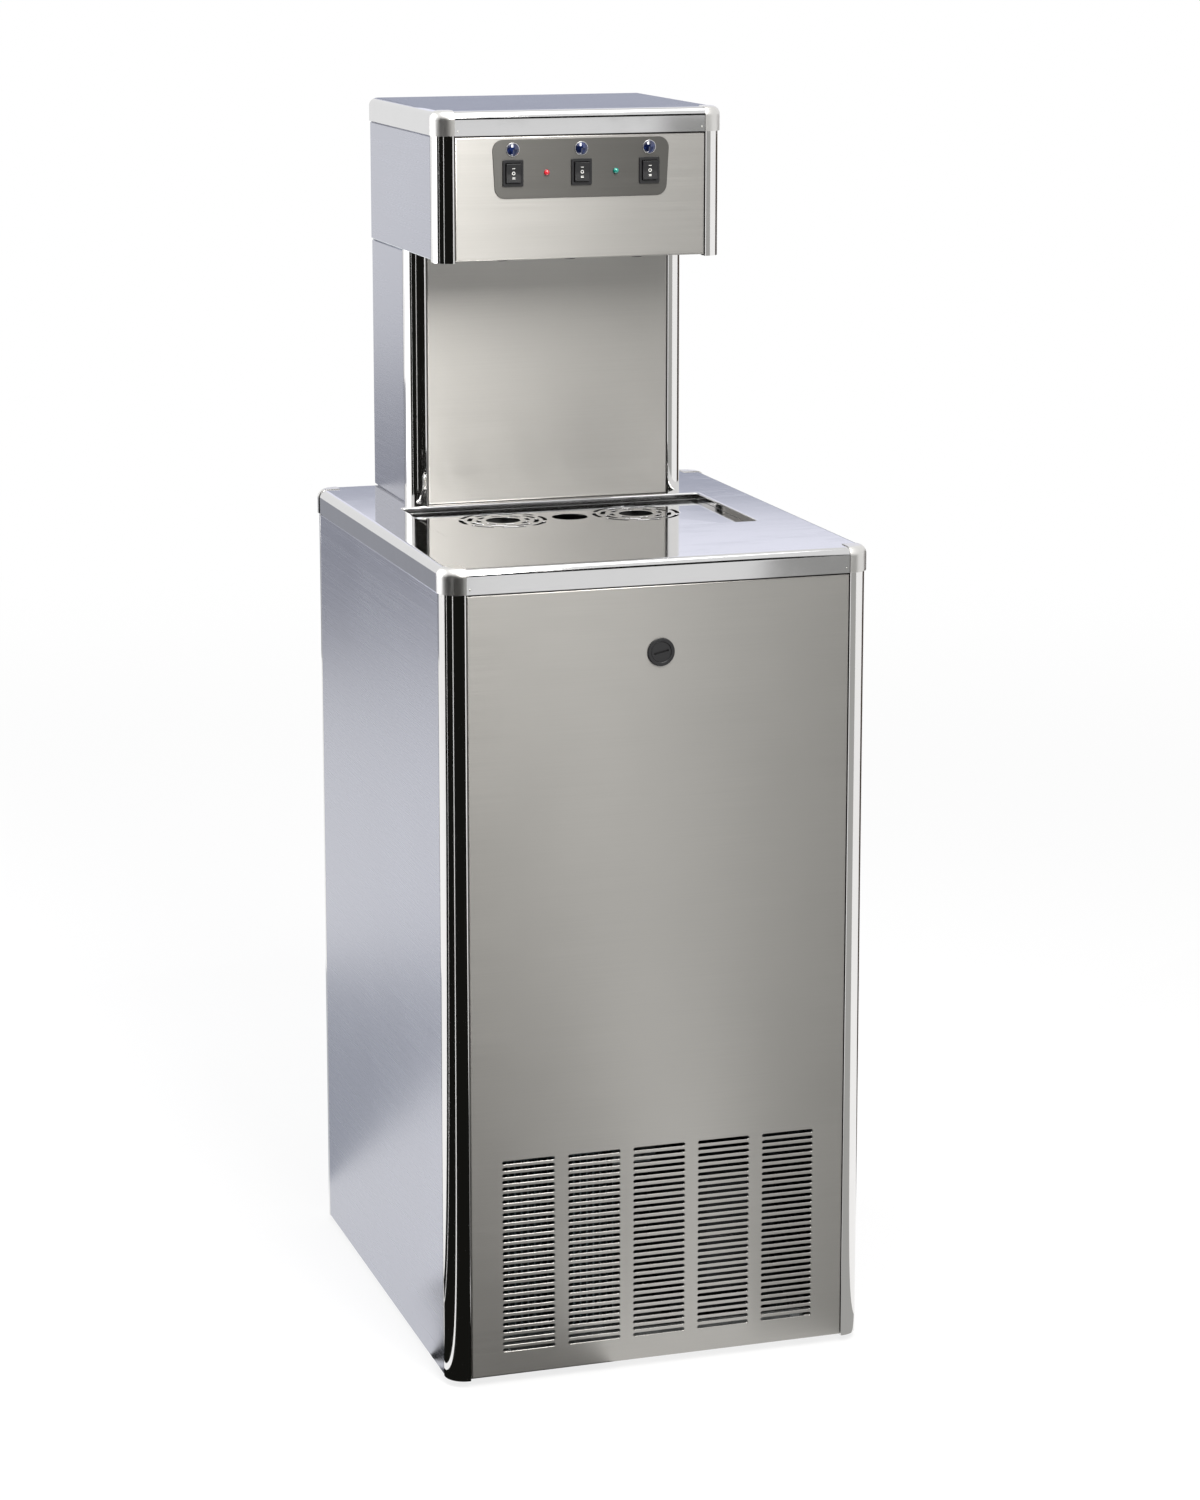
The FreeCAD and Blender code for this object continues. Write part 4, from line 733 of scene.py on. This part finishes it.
grille_columns = 5
grille_rows = 30
grille_pitch_x = 80.0 * mm
grille_pitch_z = 7.9 * mm
grille_bottom = 41.0 * mm
slot_length = 63.5 * mm
slot_height = 4.0 * mm
slot_lip = 0.45 * mm
door_depth = 18.0 * mm
door_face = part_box("front_panel")[0].y
lock_z = 862.0 * mm
lock_hole = 14.1 * mm
hinge_x = 190.0 * mm
hinge_setback = 10.0 * mm
hinge_z = 22.0 * mm
hinge_bore = 4.05 * mm
hook_width = 12.0 * mm
hook_height = 26.0 * mm
hook_wall = 3.0 * mm
hook_drop = 8.0 * mm


def grille_places():
    first = -(grille_columns - 1) / 2 * grille_pitch_x
    for column in range(grille_columns):
        for row in range(grille_rows):
            yield first + column * grille_pitch_x, grille_bottom + row * grille_pitch_z


def grille_slot(place):
    return lambda grow: long_slot(place, slot_length, slot_height, grow)


def hinge_hook(x):
    """Hook of strip metal on the back of the panel, open at the bottom where it stands on its pin."""
    pin_y = door_face + hinge_setback
    face = door_face + sheet
    back = pin_y + hinge_bore + hook_wall
    base = hinge_z - hook_drop
    top = base + hook_height
    eye = arc((pin_y, hinge_z), hinge_bore, 0.0, 180.0, 12)
    points = [(face, base), (pin_y - hinge_bore, base)] + eye[::-1]
    points += [(pin_y + hinge_bore, base), (back, base), (back, top), (face, top)]
    place = Matrix.Translation((x + hook_width / 2, 0.0, 0.0)) @ to_right
    return moved(slab(lambda grow: points, hook_width), place)


def cut_away(thing, low, high):
    """Takes a box out of a piece."""
    mesh = bmesh.new()
    block(mesh, low, high)
    data = bpy.data.meshes.new("cutter")
    mesh.to_mesh(data)
    mesh.free()
    cutter = bpy.data.objects.new("cutter", data)
    bpy.context.scene.collection.objects.link(cutter)
    notch = thing.modifiers.new("notch", "BOOLEAN")
    notch.operation = "DIFFERENCE"
    notch.object = cutter
    notch.solver = "EXACT"
    graph = bpy.context.evaluated_depsgraph_get()
    result = bpy.data.meshes.new_from_object(thing.evaluated_get(graph))
    thing.modifiers.remove(notch)
    thing.data = result
    bpy.data.objects.remove(cutter)


def add_front_panel():
    holes = [grille_slot(place) for place in grille_places()]
    holes.append(round_edge(0.0, lock_z, lock_hole))
    parts = [folded_panel("front_panel", door_depth, holes, slot_lip)]
    parts += [hinge_hook(x) for x in (-hinge_x, hinge_x)]
    panel = dressed("door_sheet", gathered(parts), "front_panel", "front_steel", ["front_panel"])
    low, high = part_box("front_panel")
    notch = 18.0 * mm
    for x in (-hinge_x, hinge_x):
        corner = (x - notch, low.y + 2 * sheet, low.z - sheet)
        cut_away(panel, corner, (x + notch, high.y + sheet, low.z + 3 * sheet))


# Lock

barrel_radius = 12.0 * mm
barrel_length = 16.0 * mm
barrel_proud = 1.4 * mm
barrel_gap = 0.05 * mm
groove_depth = 2.2 * mm
shank_radius = 6.0 * mm
shank_lap = 2.0 * mm
lock_face = Matrix.Translation((0.0, door_face, lock_z)) @ to_front


def add_lock():
    low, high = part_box("lock_bezel")
    rim = (high.x - low.x) / 2
    proud = 2.0 * mm
    bore = barrel_radius + barrel_gap
    body = 13.9 * mm
    depth = 15.0 * mm
    section = [
        (bore, proud - 0.6 * mm), (bore + 0.5 * mm, proud - 0.1 * mm), (rim - 2.6 * mm, proud - 0.1 * mm),
        (rim - 2.2 * mm, proud), (rim - 1.0 * mm, proud), (rim - 0.3 * mm, proud - 0.3 * mm),
        (rim, proud - 1.0 * mm), (rim, 0.0), (body, 0.0), (body, -depth), (bore, -depth),
    ]
    collar = moved(lathe(section + section[:1]), lock_face)
    dressed("lock_collar", collar, "front_panel", "lock_metal", ["lock_bezel"])


def add_barrel():
    """Barrel with a slanted groove in its front, and the shank that carries the cam."""
    tilt = math.radians(12.0)
    groove = [
        (u * math.cos(tilt) - v * math.sin(tilt), u * math.sin(tilt) + v * math.cos(tilt))
        for u, v in rounded_outline(rectangle(9.0 * mm, 1.3 * mm), 0.5 * mm)
    ]
    plug = pierced(
        round_edge(0.0, 0.0, barrel_radius), rim_steps(groove_depth, 0.4 * mm),
        [lambda grow: groove], hole_steps(groove_depth),
    )
    rest = slab(round_edge(0.0, 0.0, barrel_radius - barrel_gap), barrel_length - groove_depth)
    shank_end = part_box("lock_barrel")[1].y - door_face
    shank = slab(round_edge(0.0, 0.0, shank_radius, 32), shank_end - barrel_length + shank_lap)
    parts = [
        moved(solid, lock_face @ Matrix.Translation((0.0, 0.0, barrel_proud - depth)))
        for solid, depth in ((plug, 0.0), (rest, groove_depth), (shank, barrel_length - shank_lap))
    ]
    dressed("lock_plug", gathered(parts), "lock", "lock_metal", ["lock_barrel"])


# Drip plate with its ring targets

ring_x = 85.0 * mm
ring_y = 42.0 * mm
middle_hole = 22.0 * mm
target_hole = 21.0 * mm
ring_count = 3
first_ring = 30.5 * mm
ring_pitch = 10.5 * mm
ring_slots = 8
ring_gap = 4.5 * mm
ring_slot_width = 5.5 * mm


# Near-black steel of the drip basin: painted shade in the holes of the drip plate.
def basin_painted_shade():
    return plated("basin_painted_shade", (0.06, 0.06, 0.06), 0.6)


def add_basin():
    """Basin under the plate, painted near black as the shade seen through the plate's holes."""
    shell = solid_copy("drip_basin")
    piece("basin_shell", shell, "cabinet", basin_painted_shade(), ["drip_basin"])


def ring_slot(x, radius, middle):
    """One of the slots of a ring, its middle in degrees."""
    half_turn = 180.0 / ring_slots - math.degrees(ring_gap / radius)
    return lambda grow: curved_slot((x, ring_y), radius, middle, half_turn, ring_slot_width, grow)


def target_holes(x):
    """Middle hole of a target and its rings of slots, each turned half a slot from the last."""
    holes = [round_edge(x, ring_y, target_hole)]
    for number in range(ring_count):
        for k in range(ring_slots):
            middle = 360.0 / ring_slots * (k + number / 2)
            holes.append(ring_slot(x, first_ring + number * ring_pitch, middle))
    return holes


def add_drip_plate():
    low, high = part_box("drip_plate")
    corners = [(low.x, low.y), (high.x, low.y), (high.x, high.y), (low.x, high.y)]
    holes = [round_edge(0.0, ring_y, middle_hole)] + target_holes(-ring_x) + target_holes(ring_x)
    thickness = high.z - low.z
    drop = 0.7 * mm
    turned_down = [(-drop, 0.0), (-drop / 3, -drop / 3), (0.0, -drop), (0.0, -thickness)]
    mesh = pierced(
        lambda grow: rounded_outline(corners, 3.5 * mm, grow), turned_down,
        holes, hole_steps(thickness, 0.3 * mm),
    )
    dressed("drip_cover", moved(mesh, (0.0, 0.0, high.z)), "drip_plate", "worktop_steel", ["drip_plate"])


# Controls on the head

control_x = (-85.0 * mm, 0.0, 85.0 * mm)
rocker_z = 1386.3 * mm
dome_z = 1414.0 * mm
led_x = 43.0 * mm
bezel_half = (12.75 * mm, 15.75 * mm)
pocket_half = (9.5 * mm, 11.7 * mm)
plate_front = -6.0 * mm
bezel_proud = 2.0 * mm
bezel_depth = 14.0 * mm
column_depth = 15.0 * mm
head_depth = 18.0 * mm


def switch_hole(x):
    corners = rectangle(10.9 * mm, 13.1 * mm, (x, rocker_z))
    return lambda grow: rounded_outline(corners, 0.8 * mm, grow)


def head_holes():
    """Holes for the switches, the round lenses over them and the two small lamps."""
    holes = []
    for x in control_x:
        holes += [switch_hole(x), round_edge(x, dome_z, 5.2 * mm, 32)]
    return holes + [round_edge(x, rocker_z, 3.5 * mm, 32) for x in (-led_x, led_x)]


def add_tower_fronts():
    column = folded_panel("column_front_panel", column_depth)
    dressed("column_sheet", column, "cabinet", "front_steel", ["column_front_panel"])
    head = folded_panel("head_front_panel", head_depth, head_holes(), 0.05 * mm)
    dressed("head_sheet", head, "cabinet", "front_steel", ["head_front_panel"])


def add_control_plate():
    low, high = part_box("control_plate")
    taper = 4.0 * mm
    corners = [(low.x + taper, low.z), (high.x - taper, low.z), (high.x, high.z), (low.x, high.z)]
    thickness = high.y - low.y
    mesh = pierced(
        lambda grow: rounded_outline(corners, 13.0 * mm, grow, 10), rim_steps(thickness, 0.35 * mm),
        head_holes(), hole_steps(thickness, 0.1 * mm),
    )
    face = Matrix.Translation((0.0, low.y, 0.0)) @ to_front
    dressed("control_face", moved(mesh, face), "cabinet", "control_steel", ["control_plate"])


def switch_frame(x):
    """Frame of a rocker switch: a rim on the plate and a box behind it."""
    centre = (x, rocker_z)
    lip = 0.5 * mm
    wall_thickness = 1.2 * mm
    inset = 0.6 * mm
    back_thickness = 1.4 * mm
    back_inset = 0.1 * mm
    rim = pierced(
        lambda grow: rounded_outline(rectangle(*bezel_half, centre), 1.6 * mm, grow),
        rim_steps(bezel_proud, lip),
        [lambda grow: rounded_outline(rectangle(*pocket_half, centre), 0.6 * mm, grow)],
        hole_steps(bezel_proud, lip),
    )
    outer = [half + wall_thickness for half in pocket_half]
    tube = pierced(
        lambda grow: rectangle(*outer, centre), rim_steps(bezel_depth),
        [lambda grow: rectangle(*pocket_half, centre)], hole_steps(bezel_depth),
    )
    inner = [half + inset for half in pocket_half]
    back = slab(lambda grow: rectangle(*inner, centre), back_thickness)
    moved(rim, (0.0, 0.0, bezel_proud))
    moved(back, (0.0, 0.0, back_thickness + back_inset - bezel_depth))
    return moved(gathered([rim, tube, back]), Matrix.Translation((0.0, plate_front, 0.0)) @ to_front)


rocker_pivot_y = -6.5 * mm
rocker_waist = 3.2 * mm
rocker_slope = 0.115
rocker_half_width = 9.1 * mm
rocker_reach = 11.2 * mm


def rocker_front(rise):
    """Depth of a rocker's hollow front at a height above or below its pivot."""
    valley = 1.3 * mm
    rise = abs(rise)
    curve = rocker_slope * rise if rise > valley else rocker_slope * (rise * rise / valley + valley) / 2
    return rocker_pivot_y - rocker_waist - curve


def rocker(x):
    """Rocker with a hollow front and a round sweep at its two ends."""
    front = [(rocker_front(-rise), -rise) for rise in [rocker_reach * (k / 8 - 1) for k in range(17)]]
    sweep = math.degrees(math.asin(3.0 * mm / rocker_reach))
    end_radius = rocker_reach + 0.1 * mm
    back_low = arc((rocker_pivot_y, 0.0), end_radius, -90.0, -90.0 + sweep, 3)
    back_high = arc((rocker_pivot_y, 0.0), end_radius, 90.0 - sweep, 90.0, 3)
    points = front + back_low[1:] + back_high[:-1]
    mesh = slab(lambda grow: points, 2 * rocker_half_width)
    moved(mesh, Matrix.Translation((x + rocker_half_width, 0.0, rocker_z)) @ to_right)
    bmesh.ops.remove_doubles(mesh, verts=mesh.verts, dist=1e-6)
    return softened(mesh, 0.45 * mm, 3)


def rocker_marks(x):
    """Printed marks that lie on a rocker's front: a bar, a ring and two bars."""
    ink = 0.12 * mm
    sink = 0.04 * mm
    longest = 3.0 * mm
    bars = [rectangle(1.8 * mm, 0.32 * mm, (0.0, z)) for z in (5.6 * mm, -5.2 * mm, -6.6 * mm)]
    flat = [slab(lambda grow, bar=bar: bar, ink) for bar in bars]
    hole = round_edge(0.0, 0.0, 1.35 * mm, 32)
    flat.append(pierced(round_edge(0.0, 0.0, 2.0 * mm, 32), rim_steps(ink), [hole], hole_steps(ink)))
    mesh = gathered(flat)
    long_edges = [edge for edge in mesh.edges if edge.calc_length() > longest]
    bmesh.ops.subdivide_edges(mesh, edges=long_edges, cuts=1)
    moved(mesh, to_front)
    for vert in mesh.verts:
        vert.co.y += rocker_front(vert.co.z) - sink
    return moved(mesh, (x, 0.0, rocker_z))


def add_switches():
    frames = gathered([switch_frame(x) for x in control_x])
    dressed("switch_frames", frames, "cabinet", "black_plastic", ["rocker_bezels"])
    for side, x in zip(("left", "middle", "right"), control_x):
        node = "rocker_" + side
        dressed("switch_" + side, rocker(x), node, "black_plastic", [node])
        piece("marks_" + side, rocker_marks(x), node, white_ink)


def round_lens(radius, height, flange, stem):
    """Section of a lens that bulges over its flange, from its top to the end of its stem."""
    bulge = [
        (radius * math.sin(turn), flange + height * math.cos(turn))
        for turn in [math.pi / 2 * k / 8 for k in range(9)]
    ]
    depth = 8.0 * mm
    return bulge + [(radius, 0.0), (stem, 0.0), (stem, -depth), (0.0, -depth)]


def lamp_place(x, z):
    return Matrix.Translation((x, plate_front, z)) @ to_front


def add_lamps():
    wide = round_lens(radius=7.6 * mm, height=3.0 * mm, flange=1.0 * mm, stem=5.0 * mm)
    lenses = gathered([moved(lathe(wide), lamp_place(x, dome_z)) for x in control_x])
    dressed("blue_lenses", lenses, "cabinet", "blue_lens", ["indicator_domes"])
    bead = arc((7.8 * mm, 0.6 * mm), 0.4 * mm, 0.0, 360.0, 10)
    beads = gathered([moved(lathe(bead), lamp_place(x, dome_z)) for x in control_x])
    dressed("lens_rings", beads, "cabinet", "polished_steel")
    small = round_lens(radius=3.5 * mm, height=3.0 * mm, flange=1.0 * mm, stem=3.2 * mm)
    for colour, x in (("red", -led_x), ("green", led_x)):
        lamp = moved(lathe(small, 32), lamp_place(x, rocker_z))
        dressed(colour + "_lamp", lamp, "cabinet", colour + "_lens", ["led_" + colour])


# Outlets under the head

def add_nozzles():
    low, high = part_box("nozzles")
    radius = 9.0 * mm
    flange = 12.0 * mm
    floor = low.z + 5.5 * mm + sheet
    flange_top = floor + 3.3 * mm
    bore = 3.0 * mm
    socket = 4.2 * mm
    socket_end = high.z - 8.0 * mm
    section = [
        (bore, low.z), (radius - 2.4 * mm, low.z), (radius - 1.8 * mm, low.z + 0.3 * mm),
        (radius, low.z + 2.4 * mm), (radius, floor), (flange, floor), (flange, flange_top - 0.3 * mm),
        (flange - 0.3 * mm, flange_top), (radius, flange_top), (radius, high.z),
        (socket, high.z), (socket, socket_end), (bore, socket_end), (bore, low.z),
    ]
    outlets = gathered([moved(lathe(section, 40), (x, ring_y, 0.0)) for x in control_x])
    dressed("outlets", outlets, "cabinet", "black_plastic", ["nozzles"])


# Feet

foot_stem = 5.0 * mm
foot_nut_radius = 9.8 * mm
foot_nut = 7.0 * mm
foot_nut_top = 11.4 * mm


def add_foot(node):
    low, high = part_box(node)
    pad = (high.x - low.x) / 2
    section = [
        (0.0, 0.0), (pad - 1.2 * mm, 0.0), (pad, 1.2 * mm), (pad, 3.6 * mm), (pad - 1.0 * mm, 4.6 * mm),
        (9.5 * mm, 7.4 * mm), (8.5 * mm, 8.0 * mm), (foot_stem, 8.0 * mm),
        (foot_stem, high.z - 0.6 * mm), (foot_stem - 0.6 * mm, high.z), (0.0, high.z),
    ]
    nut = softened(slab(round_edge(0.0, 0.0, foot_nut_radius, 6), foot_nut), 0.4 * mm)
    parts = [lathe(section, 40), moved(nut, (0.0, 0.0, foot_nut_top))]
    x = (low.x + high.x) / 2
    y = (low.y + high.y) / 2
    dressed("levelling_" + node, moved(gathered(parts), (x, y, 0.0)), node, "foot_rubber", [node])


def add_feet():
    for end in ("front", "rear"):
        for side in ("left", "right"):
            add_foot(f"foot_{end}_{side}")


# Screws on the hidden back

def screw_head():
    """Plain round head of a screw."""
    radius = 3.5 * mm
    dome = [(0.0, 1.9 * mm), (1.6 * mm, 1.75 * mm), (2.8 * mm, 1.2 * mm), (radius, 0.3 * mm)]
    return lathe(dome + [(radius, 0.0), (0.0, 0.0)], 24)


def add_screws():
    inset = 12.0 * mm
    parts = []
    for node, shares in (("rear_panel", (0.04, 0.35, 0.66, 0.97)), ("tower_rear_panel", (0.04, 0.5, 0.96))):
        low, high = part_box(node)
        for x in (low.x + inset, high.x - inset):
            for share in shares:
                place = Matrix.Translation((x, high.y, low.z + (high.z - low.z) * share))
                parts.append(moved(screw_head(), place @ to_back))
    dressed("rear_screws", gathered(parts), "cabinet", "zinc")


# Pins that hold the caps, near the ends of the two front bands

def add_pins():
    inset = 5.5 * mm
    radius = 1.1 * mm
    section = [(0.0, 0.35 * mm), (0.7 * mm, 0.3 * mm), (radius, 0.0), (0.0, 0.0)]
    parts = []
    for node, front in (("worktop", cabinet_front), ("head_lid", tower_front)):
        low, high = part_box(node)
        for x in (low.x + front + inset, high.x - front - inset):
            parts.append(moved(lathe(section, 20), Matrix.Translation((x, low.y, low.z + inset)) @ to_front))
    dressed("cap_pins", gathered(parts), "cabinet", "zinc")


def add_pieces():
    add_profiles()
    add_caps()
    add_pins()
    add_basin()
    add_covers()
    add_front_panel()
    add_lock()
    add_barrel()
    add_drip_plate()
    add_tower_fronts()
    add_control_plate()
    add_switches()
    add_lamps()
    add_nozzles()
    add_feet()
    add_screws()


white_ink = white_print()
add_pieces()


# Camera, as solved from the straight edges in the photograph

camera_place = Vector((-1.347976, -4.303694, 1.733146))
camera_yaw = math.radians(17.697)
camera_pitch = math.radians(10.886)
sensor_size = 36.0
focal_pixels = 3770.976
photo_height = 1500
camera_shift = -0.10


def add_camera():
    data = bpy.data.cameras.new("camera")
    data.sensor_width = sensor_size
    data.sensor_fit = "AUTO"
    data.lens = focal_pixels * sensor_size / photo_height
    data.shift_y = camera_shift
    data.clip_end = 50.0
    camera = bpy.data.objects.new("camera", data)
    bpy.context.scene.collection.objects.link(camera)
    turn = Matrix.Rotation(-camera_yaw, 4, "Z") @ Matrix.Rotation(math.pi / 2 - camera_pitch, 4, "X")
    camera.matrix_world = Matrix.Translation(camera_place) @ turn
    bpy.context.scene.camera = camera


# Studio

room_light = 0.5
paper_share = 0.8


def add_world():
    """White behind the object for camera, gloss and glass, a plain grey room for its light."""
    scene = bpy.context.scene
    scene.view_settings.view_transform = "Standard"
    scene.world = bpy.data.worlds.new("studio")
    scene.world.use_nodes = True
    tree = scene.world.node_tree
    room = tree.nodes["Background"]
    room.inputs["Color"].default_value = (1.0, 1.0, 1.0, 1.0)
    room.inputs["Strength"].default_value = room_light
    white = tree.nodes.new("ShaderNodeBackground")
    white.inputs["Color"].default_value = (1.0, 1.0, 1.0, 1.0)
    white.inputs["Strength"].default_value = 1.0
    mix = tree.nodes.new("ShaderNodeMixShader")
    tree.links.new(seen_directly(tree), mix.inputs["Fac"])
    tree.links.new(room.outputs[0], mix.inputs[1])
    tree.links.new(white.outputs[0], mix.inputs[2])
    tree.links.new(mix.outputs[0], tree.nodes["World Output"].inputs["Surface"])


def seen_directly(tree):
    """1 for what the camera sees, also in metal and through glass, and 0 for the light on surfaces."""
    path = tree.nodes.new("ShaderNodeLightPath")
    share = path.outputs["Is Camera Ray"]
    for name in ("Is Glossy Ray", "Is Transmission Ray"):
        more = tree.nodes.new("ShaderNodeMath")
        more.operation = "MAXIMUM"
        tree.links.new(share, more.inputs[0])
        tree.links.new(path.outputs[name], more.inputs[1])
        share = more.outputs[0]
    return share


def stage_piece(name, mesh, material):
    data = bpy.data.meshes.new(name)
    mesh.to_mesh(data)
    mesh.free()
    thing = bpy.data.objects.new(name, data)
    bpy.context.scene.collection.objects.link(thing)
    data.materials.append(material)
    return thing


def paper():
    """White floor paper: it keeps the object's shadow near by and fades to pure white far off."""
    finish = Finish("floor_paper", (0.93, 0.93, 0.93), 0.9)
    distance = finish.node("ShaderNodeVectorMath", {"operation": "LENGTH"}, {0: finish.coordinates})
    far = Signal(finish, distance.outputs["Value"]).ramp(1.2, 5.0)
    share = (far * (1.0 - paper_share) + paper_share) * Signal(finish, seen_directly(finish.tree))
    glow = finish.node("ShaderNodeEmission", {}, {"Color": (1.0, 1.0, 1.0, 1.0), "Strength": 1.0})
    inputs = {0: share, 1: finish.surface.outputs[0], 2: glow.outputs[0]}
    mix = finish.node("ShaderNodeMixShader", {}, inputs)
    output = next(node for node in finish.tree.nodes if node.type == "OUTPUT_MATERIAL")
    finish.tree.links.new(mix.outputs[0], output.inputs["Surface"])
    return finish.material


def add_floor():
    mesh = bmesh.new()
    bmesh.ops.create_grid(mesh, x_segments=8, y_segments=8, size=20.0)
    stage_piece("floor", mesh, paper())


def card_tone(name, colour):
    """Even tone of a studio card."""
    material = bpy.data.materials.new(name)
    material.use_nodes = True
    tree = material.node_tree
    tree.nodes.clear()
    glow = tree.nodes.new("ShaderNodeEmission")
    glow.inputs["Color"].default_value = (*colour, 1.0)
    output = tree.nodes.new("ShaderNodeOutputMaterial")
    tree.links.new(glow.outputs[0], output.inputs["Surface"])
    return material


def add_card(name, start, end, route, colour):
    """Card seen only in reflections: a strip of (radius, height) points swung between two bearings."""
    mesh = bmesh.new()
    first = math.radians(start)
    spots = [mesh.verts.new((-radius * math.sin(first), -radius * math.cos(first), z)) for radius, z in route]
    edges = [mesh.edges.new(pair) for pair in zip(spots, spots[1:])]
    bmesh.ops.spin(
        mesh, geom=spots + edges, cent=(0.0, 0.0, 0.0), axis=(0.0, 0.0, 1.0),
        angle=-math.radians(end - start), steps=max(2, int(abs(end - start) / 4)),
    )
    card = stage_piece(name, mesh, card_tone(name + "_tone", colour))
    card.visible_camera = False
    card.visible_diffuse = False
    card.visible_transmission = False
    card.visible_shadow = False


def add_cards():
    """Dark cloths that draw the stripes in the corner profiles, and grey boards behind the object."""
    black = (0.008, 0.008, 0.007)
    brown = (0.07, 0.052, 0.046)
    near = [(0.05, 0.002), (3.0, 0.002), (3.0, 1.4)]
    beside = [(0.33, 0.002), (3.0, 0.002), (3.0, 1.4)]
    add_card("left_cloth", 50.2, 81.8, beside, black)
    add_card("edge_cloth", 83.4, 96.0, beside, black)
    add_card("corner_cloth", 10.0, 47.2, near, black)
    add_card("front_cloth", -9.0, 10.0, [(0.6, 0.002), (3.0, 0.002), (3.0, 1.4)], black)
    add_card("high_cloth", -24.0, 75.0, [(3.0, 1.34), (2.95, 2.6)], black)
    add_card("right_cloth", -128.0, -100.0, [(0.05, 0.002), (3.0, 0.002), (3.0, 1.25)], brown)
    add_card("right_board", -50.0, -20.5, [(0.4, 0.002), (3.0, 0.002), (3.0, 1.3)], (0.4, 0.4, 0.39))
    add_card("side_board", 150.0, 176.0, [(3.0, 0.2), (3.0, 0.75)], (0.36, 0.37, 0.41))
    add_card("side_mat", 146.0, 180.0, [(0.34, 0.002), (1.5, 0.002)], (0.5, 0.52, 0.56))
    add_card("back_board", 184.0, 214.0, [(8.0, 1.5), (8.0, 2.3)], (0.39, 0.41, 0.5))
    add_card("back_screen", 184.0, 214.0, [(8.0, 2.3), (8.0, 6.0)], (1.0, 1.01, 1.14))


def add_softbox(name, direction, elevation, distance, size, power, colour=(1.0, 1.0, 1.0)):
    """Square lamp aimed at the object; direction is its bearing from the front towards -X, in degrees."""
    data = bpy.data.lights.new(name, "AREA")
    data.shape = "RECTANGLE"
    data.size, data.size_y = size
    data.energy = power
    data.color = colour
    lamp = bpy.data.objects.new(name, data)
    bpy.context.scene.collection.objects.link(lamp)
    bearing = math.radians(direction)
    lift = math.radians(elevation)
    way = Vector((-math.sin(bearing) * math.cos(lift), -math.cos(bearing) * math.cos(lift), math.sin(lift)))
    target = Vector((0.0, 0.0, 0.75))
    aim = way.to_track_quat("Z", "Y").to_matrix().to_4x4()
    lamp.matrix_world = Matrix.Translation(target + way * distance) @ aim


def add_studio():
    add_world()
    add_floor()
    add_cards()
    add_softbox("key", 125.0, 20.0, 3.2, (2.6, 3.2), 60.0, (0.95, 0.96, 1.0))
    add_softbox("front", -4.0, 46.0, 3.0, (0.8, 2.0), 88.0, (1.0, 0.985, 0.96))
    add_softbox("top", 20.0, 80.0, 3.0, (2.4, 2.4), 40.0)


add_camera()
add_studio()
